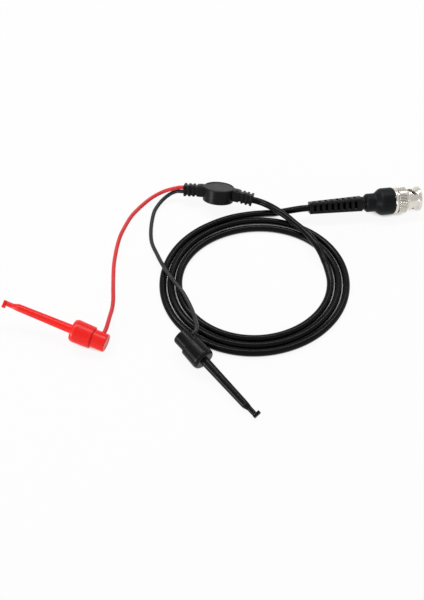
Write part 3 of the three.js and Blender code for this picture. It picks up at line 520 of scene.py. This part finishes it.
def shown_white(tree, shaded, share):
    """Shader mix that shows plain white to the seeing rays, by the share, and the shaded result to the
    others. In narrow gaps between pieces that lie on it, everything sees the shaded result."""
    white, part, mixed = (tree.nodes.new("ShaderNode" + kind) for kind in ("Emission", "Math", "MixShader"))
    closeness, open_share = (tree.nodes.new("ShaderNode" + kind) for kind in ("AmbientOcclusion", "MapRange"))
    closeness.inputs["Distance"].default_value = 4 * MM
    tree.links.new(closeness.outputs["AO"], open_share.inputs["Value"])
    for socket, value in (("From Min", 0.1), ("From Max", 0.4), ("To Min", 0.0), ("To Max", share)):
        open_share.inputs[socket].default_value = value
    part.operation = "MULTIPLY"
    tree.links.new(seeing_rays(tree), part.inputs[0])
    tree.links.new(open_share.outputs[0], part.inputs[1])
    tree.links.new(part.outputs[0], mixed.inputs[0])
    tree.links.new(shaded, mixed.inputs[1])
    tree.links.new(white.outputs[0], mixed.inputs[2])
    return mixed.outputs[0]


def table_top():
    """A round pale table top, just under the lead, with a slow unevenness in its tone."""
    sides, radius, under = 96, 3, 0.03 * MM
    ring = np.linspace(0, TURN, sides + 1)[:-1]
    points = radius * np.stack([np.cos(ring), np.sin(ring), 0 * ring], -1)
    points[:, 2] = -under
    mesh = bpy.data.meshes.new("table_top")
    mesh.from_pydata(points, [], [list(range(sides))])
    made = bpy.data.objects.new("table_top", mesh)
    bpy.context.scene.collection.objects.link(made)
    finish = Finish("pale_table", Specular_IOR_Level=0.2)
    tone = finish.noise(finish.place(), 4)
    finish.feed("Base Color", finish.mix(tone, (0.84, 0.84, 0.84), (0.88, 0.88, 0.88)))
    finish.shader.inputs["Roughness"].default_value = 0.7
    output = finish.nodes["Material Output"]
    mixed = shown_white(finish.material.node_tree, finish.shader.outputs[0], 0.92)
    finish.links.new(mixed, output.inputs["Surface"])
    mesh.materials.append(finish.material)


def room():
    """The room round the table: a plain grey light, which the camera and shiny things see as white walls
    under a pale grey ceiling. The ceiling begins well above the horizon."""
    world = bpy.data.worlds.new("room")
    bpy.context.scene.world = world
    world.use_nodes = True
    tree = world.node_tree
    plain, seen = tree.nodes["Background"], tree.nodes.new("ShaderNodeBackground")
    plain.inputs["Color"].default_value = seen.inputs["Color"].default_value = (1, 1, 1, 1)
    plain.inputs["Strength"].default_value = PLAIN_LIGHT
    kinds = ("TexCoord", "SeparateXYZ", "MapRange")
    direction, parts, level = (tree.nodes.new("ShaderNode" + kind) for kind in kinds)
    tree.links.new(direction.outputs["Generated"], parts.inputs[0])
    tree.links.new(parts.outputs["Z"], level.inputs["Value"])
    for socket, value in (("From Min", 0.3), ("From Max", 0.45), ("To Min", 1.0), ("To Max", SEEN_CEILING)):
        level.inputs[socket].default_value = value
    tree.links.new(level.outputs[0], seen.inputs["Strength"])
    mixed = tree.nodes.new("ShaderNodeMixShader")
    tree.links.new(seeing_rays(tree), mixed.inputs[0])
    tree.links.new(plain.outputs[0], mixed.inputs[1])
    tree.links.new(seen.outputs[0], mixed.inputs[2])
    tree.links.new(mixed.outputs[0], tree.nodes["World Output"].inputs["Surface"])


bpy.context.scene.view_settings.view_transform = "Standard"
camera()
room()
table_top()
softbox("overhead", (-0.1, 0.4, 0.9), (1.1, 0.12), 14)
softbox("left_low", (-1.05, -0.65, 0.16), (0.45, 0.3), 14)

# Cables, with the ways that the part's source gives them
# Radii, the gap that the solids leave at a piece's end, how far a tube here runs into the piece, and how far
# the leads lie above and below the splitter's middle
COAX, LEAD, GAP, TUCK, LEAD_LEVEL = 1.8, 1.05, 0.3, 1.0, 1.15
RELIEF_BACK = -60.75
# Radius of the splitter's disc, where its sleeves end, how far they are lifted, and their droop on each side
DISC, SLEEVE_END, SLEEVE_RISE = 8.5, 19.1, 0.5
DROOP = {1: 8, -1: 5}
COIL = {
    "centre": (16.9, 7.0), "steps": 67, "per_turn": 24, "climb": 1.3, "climb_share": 0.07,
    "half_length": 47.4, "length_pitch": 3.92, "half_width": 47.89, "width_pitch": 4.89,
    "widen": 0.51, "spread": 0.6, "skew": 1.82, "skew_angle": 16.1, "skew_fade": 0.112,
    "corner_depth": 0.85, "corner_place": 0.069, "corner_width": 0.073,
}
TO_PLUG = [(37.4, 52.6, 6), (32.8, 53.2, 4.1), (28.6, 53.9, 2.3)]
TO_SPLITTER = [
    (48.6, 28.7, 5.5), (45.6, 33.8, 5.9), (42, 38.6, 6.1), (38.3, 42.5, 6.4), (34.2, 47, 6.8),
    (30.6, 50.2, 7), (27, 53.6, 6.8), (23.6, 56.6, 6.2),
]
TO_CLIP = {
    "red": [
        (-25.5, 67.6, 7.6), (-29, 67.4, 6.7), (-32.5, 67.4, 5.1), (-36.3, 66.7, 3.3), (-40.2, 64.7, 1.9),
        (-44.9, 59.9, 1.2), (-49.5, 53, 1.2), (-52.8, 45, 1.2), (-55.2, 36.8, 1.2), (-56.9, 20.2, 1.2),
        (-56.3, 3.7, 1.2), (-55.7, -4.2, 1.5), (-55.7, -10.4, 2.2), (-56.3, -16.3, 3.6),
    ],
    "black": [
        (-24.9, 67.4, 5.3), (-27.7, 67.1, 4.4), (-30.5, 65.7, 3.4), (-33.2, 63.4, 2.4), (-36, 59.3, 1.6),
        (-37.5, 55.5, 1.3), (-38.7, 43.7, 1.2), (-37.9, 33.6, 1.6), (-34.7, 24, 3.2), (-30.8, 14.2, 5),
        (-25.7, 5.2, 5.2), (-20.7, -2.6, 5.2), (-17.2, -10.1, 5.2), (-14.9, -16.9, 5.8), (-14, -21.3, 7),
        (-13.3, -25.4, 8.4),
    ],
}


def coil_points(turns):
    """Centre of the coiled cable after some turns: an oval that shrinks with the turns, its strands further
    apart at the top than at the bottom, with a two-lobed wave for its askew long way, a bell-shaped dent
    where the first strand cuts the corner, and a parabola up over the others at its inner end."""
    angle = TURN / 4 + TURN * turns
    up = np.sin(angle)
    lobes = np.cos(2 * (angle - math.radians(COIL["skew_angle"])))
    wave = COIL["skew"] * lobes * (1 - COIL["skew_fade"] * turns)
    wave = wave - COIL["corner_depth"] * np.exp(-((turns - COIL["corner_place"]) / COIL["corner_width"]) ** 2)
    half_length = COIL["half_length"] - COIL["length_pitch"] * turns + wave
    pitch = COIL["width_pitch"] + COIL["spread"] * up
    half_width = COIL["half_width"] + COIL["widen"] * up - pitch * turns + wave
    whole = COIL["steps"] / COIL["per_turn"]
    climbed = np.maximum(0, 1 + (turns - whole) / COIL["climb_share"])
    z = COAX + COIL["climb"] * climbed ** 2
    x, y = COIL["centre"]
    return np.stack([x + half_length * np.cos(angle), y + half_width * up, z], -1)


def straight_out(place, spots):
    """Points of a piece's own frame as points on the table, in mm."""
    return laid(spots, place) / MM


def drooped(spots, side):
    """Spots built straight along one side of the splitter, as its drooping sleeve has them: turned down about
    the level line across the rim of the disc, and lifted."""
    rim = (side * DISC, 0, 0)
    return (np.array(spots, float) - rim) @ turn_about(1, side * DROOP[side]).T + rim + (0, 0, SLEEVE_RISE)


def coax_way():
    """Centre line of the coaxial cable, from just inside the strain relief to just inside the splitter."""
    leave = [(RELIEF_BACK + TUCK, 0, 0), (RELIEF_BACK - GAP, 0, 0), (RELIEF_BACK - GAP - 2 * COAX, 0, 0)]
    leave = straight_out("plug", leave)
    turns = np.arange(COIL["steps"] + 1) / COIL["per_turn"]
    windings = coil_points(turns)
    moment = 0.001
    beside = coil_points(np.array([moment, turns[-1] - moment]))
    first = (windings[0] - beside[0]) / np.linalg.norm(windings[0] - beside[0])
    last = (windings[-1] - beside[1]) / np.linalg.norm(windings[-1] - beside[1])
    reach = np.array([[2 * COAX], [4 * COAX + GAP]])
    start = (windings[0] + first * reach)[::-1]
    end = windings[-1] + last * reach
    enter = [(SLEEVE_END + GAP + 2 * COAX, 0, 0), (SLEEVE_END + GAP, 0, 0), (SLEEVE_END - TUCK, 0, 0)]
    enter = straight_out("splitter", drooped(enter, 1))
    return catmull_rom(np.vstack([leave, TO_PLUG, start, windings, end, TO_SPLITTER, enter]))


def lead_way(name, side):
    """Centre line of a lead, from just inside the splitter to its joint in the clip's button."""
    turn = math.radians(LEAD_TURN[name])
    across = np.array([0, math.sin(turn), -math.cos(turn)])
    stations = (-SLEEVE_END + TUCK, -SLEEVE_END - GAP, -SLEEVE_END - GAP - 2 * LEAD)
    leave = [(station, 0, side * LEAD_LEVEL) for station in stations]
    leave = straight_out("splitter", drooped(leave, -1))
    enter = straight_out(name, [(-3.9, 0, 0) + across * depth for depth in (6.6, 4.8, 3.0)])
    return catmull_rom(np.vstack([leave, TO_CLIP[name], enter]))


def cable(name, line, radius, step, sides, finish, nodes):
    """A free cable: its tube on the table."""
    line = spaced(line, step)
    made = piece(name, [hose(line, radius, sides)], "table", finish, nodes, crease=80)


cable("coax_cable", coax_way(), COAX, 1.3, 28, BLACK_JACKET,
      ["coax_plug_stretch", "coax_coil", "coax_splitter_stretch"])
cable("red_lead_wire", lead_way("red", 1), LEAD, 0.8, 20, RED_JACKET, ["red_lead"])
cable("black_lead_wire", lead_way("black", -1), LEAD, 0.8, 20, LEAD_JACKET, ["black_lead"])

# Plug: stations are 0 at the front face of the nut, and below 0 behind it
NUT_TEETH, KNURL_DEPTH, KNURL_SHARE = 52, 0.3, 0.4
RAMP = {"front": -3.25, "start": 70, "turn": 42, "rise": 2.6, "half": 1.1, "hole": 1.35}


def knurl(angle):
    """Depth of the knurl at each angle: V grooves that take up a share of each tooth's part of the turn."""
    share = np.abs(2 * np.mod(angle * NUT_TEETH / TURN, 1) - 1)
    return KNURL_DEPTH * np.clip(1 - share / KNURL_SHARE, 0, 1)


def outward(angle):
    """Direction out of the plug's axis at an angle up from its -Y side."""
    return np.array([0, -math.cos(math.radians(angle)), math.sin(math.radians(angle))])


def ramp_slot(turn):
    """The helical slot: a section through the wall, wider outside, carried back and round to the detent."""
    share = np.linspace(0, 1, 25)
    angle = np.radians(RAMP["start"] + RAMP["turn"] * share + turn)[:, None]
    middle = (RAMP["front"] - RAMP["rise"] * share)[:, None]
    half, flare = RAMP["half"], 0.5
    across = np.array([-half, -half, -half - flare, half + flare, half, half])
    inside, near_face, outside = 4.5, 5.45, 6.1
    out = np.array([inside, near_face, outside, outside, near_face, inside])
    rows = np.stack([middle + across, -out * np.cos(angle), out * np.sin(angle)], -1)
    return skin(ended(rows))


def drill(spot, angle, radius, flare=0.0):
    """A round cutter out through the wall of the nut, flared where it passes the outer face."""
    near_face, outside = 5.4, 9
    shape = turned([(0, 0), (0, radius), (near_face, radius), (near_face + 0.6, radius + flare),
                    (outside, radius + flare), (outside, 0)], 40)
    return aimed(shape, outward(angle), (spot, 0, 0))


def lug_channel(angle):
    """The straight way in for a bayonet lug, a box from the mouth back to the slot, as wide as the lug."""
    shape = block((0, -1.2, -3.4), (5.55, 1.2, 2.2), 0.08)
    points = shape[0] @ np.stack([outward(angle), np.cross(outward(angle), (1, 0, 0)), (1, 0, 0)])
    return facing_out(points - (1.0, 0, 0), *shape[1:])


def contact_fingers():
    """The outer contact's four spring fingers: a thin round wall that swells near its mouth, with a slot at
    each quarter of a turn that stops short of the last ring."""
    along = np.array([-0.6, -0.75, -2.5, -4.5, -6.6, -8.6])
    swell = np.array([0.0, 0.06, 0.03, 0.0, 0.0, 0.0])
    sides, half_slot = 96, 0.075
    angle = np.arange(sides) * TURN / sides
    circle = np.stack([np.cos(angle), np.sin(angle)], -1)
    rows = [np.concatenate([
        np.repeat(along[:, None, None], sides, 1), (radius + swell)[:, None, None] * circle[None]], -1)
        for radius in (4.0, 3.45)]
    slot = np.abs(np.mod(angle + TURN / (2 * sides) + TURN / 8, TURN / 4) - TURN / 8) < half_slot
    solid = np.repeat(~slot[None], len(along) - 1, 0)
    solid[-1] = True
    return walled(*rows, solid)


def plug():
    """The bayonet plug, from the coupling nut in front to the strain relief behind."""
    nut = turned([
        (0, 4.9, 0.14), (0, 6.1, 0.12), (-0.5, 6.6, 0.15), (-2, 6.6, 0.14), (-2, 5.7, 0.2), (-7, 5.7, 0.3),
        (-7.7, 6.4, 0.15, 0), (-8.3, 7.2, 0.25, 1), (-12.2, 7.2, 0.08, 1), (-12.4, 6.95, 0.05, 0),
        (-12.4, 5.5, 0.1), (-13.1, 5.5, 0.1), (-13.1, 7, 0.12), (-14.25, 7, 0.15), (-14.6, 6.65, 0.12),
        (-14.6, 4.3, 0.1), (-12, 4.3, 0.1), (-12, 4.9, 0.1),
    ], NUT_TEETH * 8, True, knurl, 5)
    cutters = [drill(-4.5, -16, 0.65, 0.15)]
    for turn in (0, 180):
        end = RAMP["start"] + RAMP["turn"] + turn
        cutters += [lug_channel(RAMP["start"] + turn), ramp_slot(turn),
                    drill(RAMP["front"] - RAMP["rise"], end, RAMP["hole"], 0.5)]
    piece("plug_nut", [nut], "plug", NICKEL, ["coupling_nut"], "nut", 28, cutters)

    rear = turned([
        (-8.5, 3.45, 0.05), (-8.5, 4.6, 0.12), (-10.2, 4.6, 0.12), (-10.2, 3.8, 0.1), (-19.6, 3.8, 0.1),
        (-19.6, 2.3, 0.1), (-24.6, 2.3, 0.1), (-24.6, 1.5, 0.1), (-16, 1.5, 0.1), (-16, 2.2, 0.1),
        (-9.2, 2.2, 0.05), (-9.2, 3.45, 0.05),
    ], closed=True)
    piece("plug_core", [contact_fingers(), rear], "plug", NICKEL, ["connector_body"])
    piece("plug_seal", [turned([
        (-8.3, 4.25, 0.1), (-8.3, 4.7, 0.1), (-7.6, 4.7, 0.2), (-7.6, 4.25, 0.2)], closed=True)],
        "plug", SEAL_RED, ["gasket"])
    piece("plug_insulator", [turned([
        (-14.95, 0.95, 0.05), (-14.95, 1.9, 0.1), (-7.7, 1.9, 0.1), (-7.7, 3.15, 0.1), (-6.95, 3.15, 0.15),
        (-6.95, 2.3, 0.1), (-4.95, 2.3, 0.2), (-4.95, 0.95, 0.12)], closed=True)],
        "plug", WHITE, ["insulator"])
    piece("plug_pin", [turned([
        (-12.8, 0), (-12.8, 0.5, 0.05), (-15.2, 0.5, 0.05), (-15.2, 0.68, 0.05), (-2.3, 0.68, 0.3),
        (-1.4, 0.3, 0.16), (-1.4, 0)], 48)],
        "plug", PIN_GOLD, ["centre_pin"])
    piece("plug_ferrule", [turned([
        (-27.4, 2.1, 0.1), (-27.4, 2.6, 0.15), (-25.4, 2.6, 0.2), (-24.9, 3.1, 0.2), (-19.9, 3.1, 0.15),
        (-19.9, 2.6, 0.1), (-24.9, 2.6, 0.1), (-24.9, 2.1, 0.1)], closed=True)],
        "plug", NICKEL, ["crimp_ferrule"])
    shell = turned([
        (-30.25, 3.4, 0.1), (-30.25, 4.2, 0.15), (-29.25, 5, 0.3), (-28.05, 5, 0.08), (-27.95, 4.86, 0.04),
        (-27.7, 4.86, 0.04), (-27.6, 5, 0.08), (-24.9, 5, 0.45), (-21.85, 7.3, 0.9), (-15.6, 7.3, 0.3),
        (-14.9, 6.95, 0.18), (-14.9, 5.9, 0.1), (-21.3, 5.9, 0.2), (-21.3, 3.4, 0.2)], closed=True, steps=8)
    piece("plug_shell", [shell], "plug", SHELL_BLACK, ["backshell"])
    piece("plug_relief", [relief_sleeve(), relief_neck()],
          "plug", RUBBER, ["strain_relief"], crease=50)
    piece("plug_cable_end", [turned([(-59.75, 0), (-59.75, 1.8), (-24.9, 1.8), (-24.9, 0)], 28)],
          "plug", CABLE_IN_RELIEF, ["coax_plug_tail"])


def relief_neck():
    """The round neck that joins the relief to the shell, with a groove round it."""
    return turned([
        (-33.2, 2.1, 0.1), (-33.2, 3.4, 0.1), (-32.1, 3.7, 0.1), (-31.5, 3.7, 0.1), (-31.4, 3.45, 0.08),
        (-30.8, 3.45, 0.08), (-30.7, 3.7, 0.1), (-29.55, 3.3, 0.2), (-27.7, 3.1, 0.2), (-27.7, 2.1, 0.1),
    ], closed=True)


def relief_sleeve():
    """The tapering relief: rounded squares along the cable with rows of windows through each flat, about a
    round bore. A cell of the grid is left open where it lies within a window both along and across."""
    front, length, pitch, window, ring = -32.25, 28.5, 3.18, 1.5, 2.8
    half_window, bore, lip, arc, tilt = 2.2, 2.1, 0.12, 7, -35
    edges = [(front - ring - row * pitch, front - ring - row * pitch - window) for row in range(8)]
    along = np.sort(np.concatenate(
        [[front, front - lip, front - length + lip, front - length]]
        + [[a + lip, a, a - lip, b + lip, b, b - lip] for a, b in edges]))[::-1]
    share = (front - along) / length
    half = 3.8 + (3 - 3.8) * share
    corner = 1.6 + (1.2 - 1.6) * share
    near_edge = np.min(np.abs(along[:, None] - np.array(edges).reshape(1, -1)), 1) < 1e-6
    at_end = (along > front - 1e-6) | (along < front - length + 1e-6)
    half = half - 0.5 * lip * near_edge - lip * at_end
    # Each quarter of a ring is an arc, then three points about each edge of the window in the flat after it
    flat = np.full(len(along), half_window)
    quarter = []
    for side in range(4):
        turn = np.linspace(0, TURN / 4, arc)[None]
        y = (half - corner)[:, None] + corner[:, None] * np.cos(turn)
        z = (half - corner)[:, None] + corner[:, None] * np.sin(turn)
        top = np.stack([flat + lip, flat, flat - lip, -flat + lip, -flat, -flat - lip], -1)
        drop = np.array([0, 0.5, 0, 0, 0.5, 0]) * lip
        y = np.concatenate([y, top], 1)
        z = np.concatenate([z, np.repeat(half[:, None], len(drop), 1) - drop], 1)
        c, s = ((1, 0), (0, 1), (-1, 0), (0, -1))[side]
        quarter.append(np.stack([y * c - z * s, y * s + z * c], -1))
    section = np.concatenate(quarter, 1)
    outer = np.concatenate([np.repeat(along[:, None], section.shape[1], 1)[..., None], section], -1)
    size = np.linalg.norm(section, axis=-1, keepdims=True)
    inner = outer.copy()
    inner[..., 1:] = section / size * bore
    solid = np.ones((len(along) - 1, section.shape[1]), bool)
    middle = (along[:-1] + along[1:]) / 2
    in_window = np.any([(middle < a) & (middle > b) for a, b in edges], 0)
    across = np.zeros(section.shape[1], bool)
    for side in range(4):
        start = side * (arc + len(drop)) + arc + 1
        across[start:start + 3] = True
    solid[np.ix_(in_window, across)] = False
    points, faces, uv, wear_and_groove_shade = walled(outer, inner, solid)
    return points @ turn_about(0, tilt).T, faces, uv, wear_and_groove_shade


# Splitter: stations from the middle of its disc
BLOCK_END, RIB_GAP, RIB = 11.9, 1.1, 1.3
RIB_HALF, CORE_HALF = 3.1, 2.45


def sleeve_stations(side, bore):
    """Sizes of the moulded sleeve along one side: a block, then three square ribs on a thinner core, and at
    its end a pocket as wide as what goes in. Each step is a corner softened like a turned profile."""
    steps = [(DISC - 1, RIB_HALF, 0.05), (BLOCK_END, RIB_HALF, 0.25), (BLOCK_END, CORE_HALF, 0.15)]
    for i in range(3):
        near = BLOCK_END + RIB_GAP + i * (RIB_GAP + RIB)
        steps += [(near, CORE_HALF, 0.12), (near, RIB_HALF, 0.3)]
        steps += [(near + RIB, RIB_HALF, 0.3), (near + RIB, CORE_HALF, 0.12)]
    profile, _ = soften(steps[:-1], steps=5)
    along, size = profile[:, 0], profile[:, 1]
    half_z = np.where(along < BLOCK_END + 0.01, np.minimum(size, 3), size)
    corner = np.clip(0.8 + 0.4 * (size - CORE_HALF), 0.8, 1)
    outer = np.stack([along, size, half_z, corner], -1)
    half_y, half_z = bore
    corner, end = min(bore), along[-1]
    mouth = [(end, half_y + 0.1, half_z + 0.1, corner + 0.1), (end - 0.12, half_y, half_z, corner),
             (end - 1.1, half_y, half_z, corner)]
    return np.vstack([outer, mouth]) * (side, 1, 1, 1)


def splitter():
    """The moulded splitter: a dished disc between two drooping sleeves. Ties cross the gaps before the ribs,
    by turns on the sleeve's front and back and on its top and bottom, so that it bends every way."""
    disc = turned([
        (-3.75, 0), (-3.75, 7.25, 0.12), (-4, 7.5, 0.12), (-4, 8.1, 0.25), (-3.6, 8.5, 0.3), (3.6, 8.5, 0.3),
        (4, 8.1, 0.25), (4, 7.5, 0.12), (3.75, 7.25, 0.12), (3.75, 0)], 128)
    shapes = [facing_out(disc[0][:, [2, 1, 0]], *disc[1:])]
    for side, bore in ((1, (2.1, 2.1)), (-1, (1.25, 2.4))):
        sleeve = [lofted(sleeve_stations(side, bore))]
        pad = sorted((side * (BLOCK_END - RIB_GAP - 1.9), side * (BLOCK_END - RIB_GAP)))
        for rise in ((2.5, 3.3), (-3.3, -2.5)):
            sleeve.append(block((pad[0], -1.8, rise[0]), (pad[1], 1.8, rise[1]), 0.16))
        for i in range(3):
            middle = BLOCK_END + RIB_GAP + RIB / 2 + i * (RIB_GAP + RIB)
            ends = sorted((side * (middle - RIB_GAP - RIB), side * middle))
            half = (1.5, 2.85) if i == 1 else (2.85, 1.5)
            sleeve.append(block((ends[0], -half[0], -half[1]), (ends[1], half[0], half[1]), 0.3))
        shapes += [(drooped(part[0], side),) + part[1:] for part in sleeve]
    piece("splitter_moulding", shapes, "splitter", RUBBER, ["splitter_body"])


# Clips: stations from the rear face of the collar towards the tip
LEAD_HOLE = (-3.9, 0, 0)


def hook_clip(name, plastic):
    """A spring hook clip: the barrel with its collar slides on the button and its hook wire."""
    collar = turned([
        (0, 4.65, 0.12), (0, 5.44, 0.28), (9.2, 5.75, 0.9), (10.65, 5.05, 0.75), (10.65, 2.24, 0.3),
        (39.65, 1.85, 0.6), (42.3, 1.25, 0.3, -0.3), (45.5, 1.25, 0.18, -0.3), (45.5, 0.7, 0.05, -0.3),
        (8, 0.7, 0.05, -0.3), (8, 4.65, 0.3)], 96, True, steps=9)
    piece(name + "_barrel", [collar], name, plastic, [name + "_clip_body"], name + "_barrel")
    button = turned([
        (-7.15, 0), (-7.15, 2.9, 0.25), (-7.3, 3.2, 0.12), (-7.3, 4.5, 0.95), (4.2, 4.5, 0.2),
        (4.2, 3.5, 0.1), (-2, 3.5, 0.2), (-2, 1.6, 0.2), (-5.6, 1.6, 0.2), (-5.6, 0)], 96, steps=9)
    turn = math.radians(LEAD_TURN[name])
    hole = turned([(0, 0), (0, 1.35), (4.15, 1.35), (4.6, 1.6), (7, 1.6), (7, 0)], 40)
    hole = aimed(hole, (0, math.sin(turn), -math.cos(turn)), LEAD_HOLE)
    piece(name + "_button", [button], name, plastic, [name + "_clip_button"], crease=30, cutters=[hole])
    clip_spring(name)
    clip_hook(name, plastic)


def clip_spring(name):
    """The coil spring of a clip: seven turns of wire round the clip's axis."""
    coils, radius, wire = 7, 2.4, 0.25
    turns = np.linspace(0, coils, coils * 24 + 1)
    along = np.interp(turns, (0, coils), (-1.45, 7.45))
    line = np.stack([along, radius * np.cos(TURN * turns), radius * np.sin(TURN * turns)], -1)
    spring = piece(name + "_spring", [hose(line, wire, 10, (1, 0, 0))],
                   name, STEEL, [name + "_clip_spring"], crease=80)
    tuple(lay_of(name)[:, 0])
    tuple(laid([(-1.7, 0, 0)], name)[0])
    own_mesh(spring)


def clip_hook(name, plastic):
    """The wire that runs through a clip's barrel and bends into its hook, and the small foot on the hook."""
    bend = np.linspace(0, TURN / 4, 9)
    wire = np.vstack([
        [(-2.2, 0, 0), (20, 0, 0), (40, 0, 0), (45.5, 0, 0)],
        np.stack([45.7 + 0.5 * np.sin(bend), 0 * bend, 0.5 * np.cos(bend) - 0.5], -1),
        [(46.2, 0, -1.2), (46.2, 0, -1.85)]]) + (0, 0, -0.3)
    line = np.vstack([wire[:3], spaced(wire[2:], 0.25)[1:]])
    piece(name + "_hook_wire", [hose(line, 0.4, 20, (0, 1, 0))],
          name, STEEL, [name + "_clip_hook_wire"], crease=80)
    foot = block((45.8, -1.05, -2.85), (47.3, 1.05, 1.0), 0.28)
    groove = block((43, -0.7, -2.45), (46.9, 0.7, 0.4), 0.08)
    piece(name + "_foot", [foot],
          name, plastic, [name + "_clip_hook_foot"], crease=30, cutters=[groove])


plug()
splitter()
hook_clip("red", CLIP_RED)
hook_clip("black", CLIP_BLACK)

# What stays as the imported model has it, inside the pieces, gets its finish
KEPT = {
    "wave_washer": STEEL, "thrust_washer": STEEL, "rear_bushing": PIN_GOLD, "coax_core_end": WHITE,
    "coax_tail": BLACK_JACKET, "red_tail": RED_JACKET, "black_tail": LEAD_JACKET, "core_joint": COPPER,
    "shield_joint": COPPER, "red_clip_wire_joint": NICKEL, "black_clip_wire_joint": NICKEL,
}
for kept, finish in KEPT.items():
    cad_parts[kept].data.materials.clear()
    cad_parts[kept].data.materials.append(finish)
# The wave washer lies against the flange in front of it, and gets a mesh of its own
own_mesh(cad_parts["wave_washer"], "nut_play", axis=tuple(lay_of("plug")[:, 0]),
          anchor=tuple(laid([(-10.4, 0, 0)], "plug")[0]), keep=0.62)
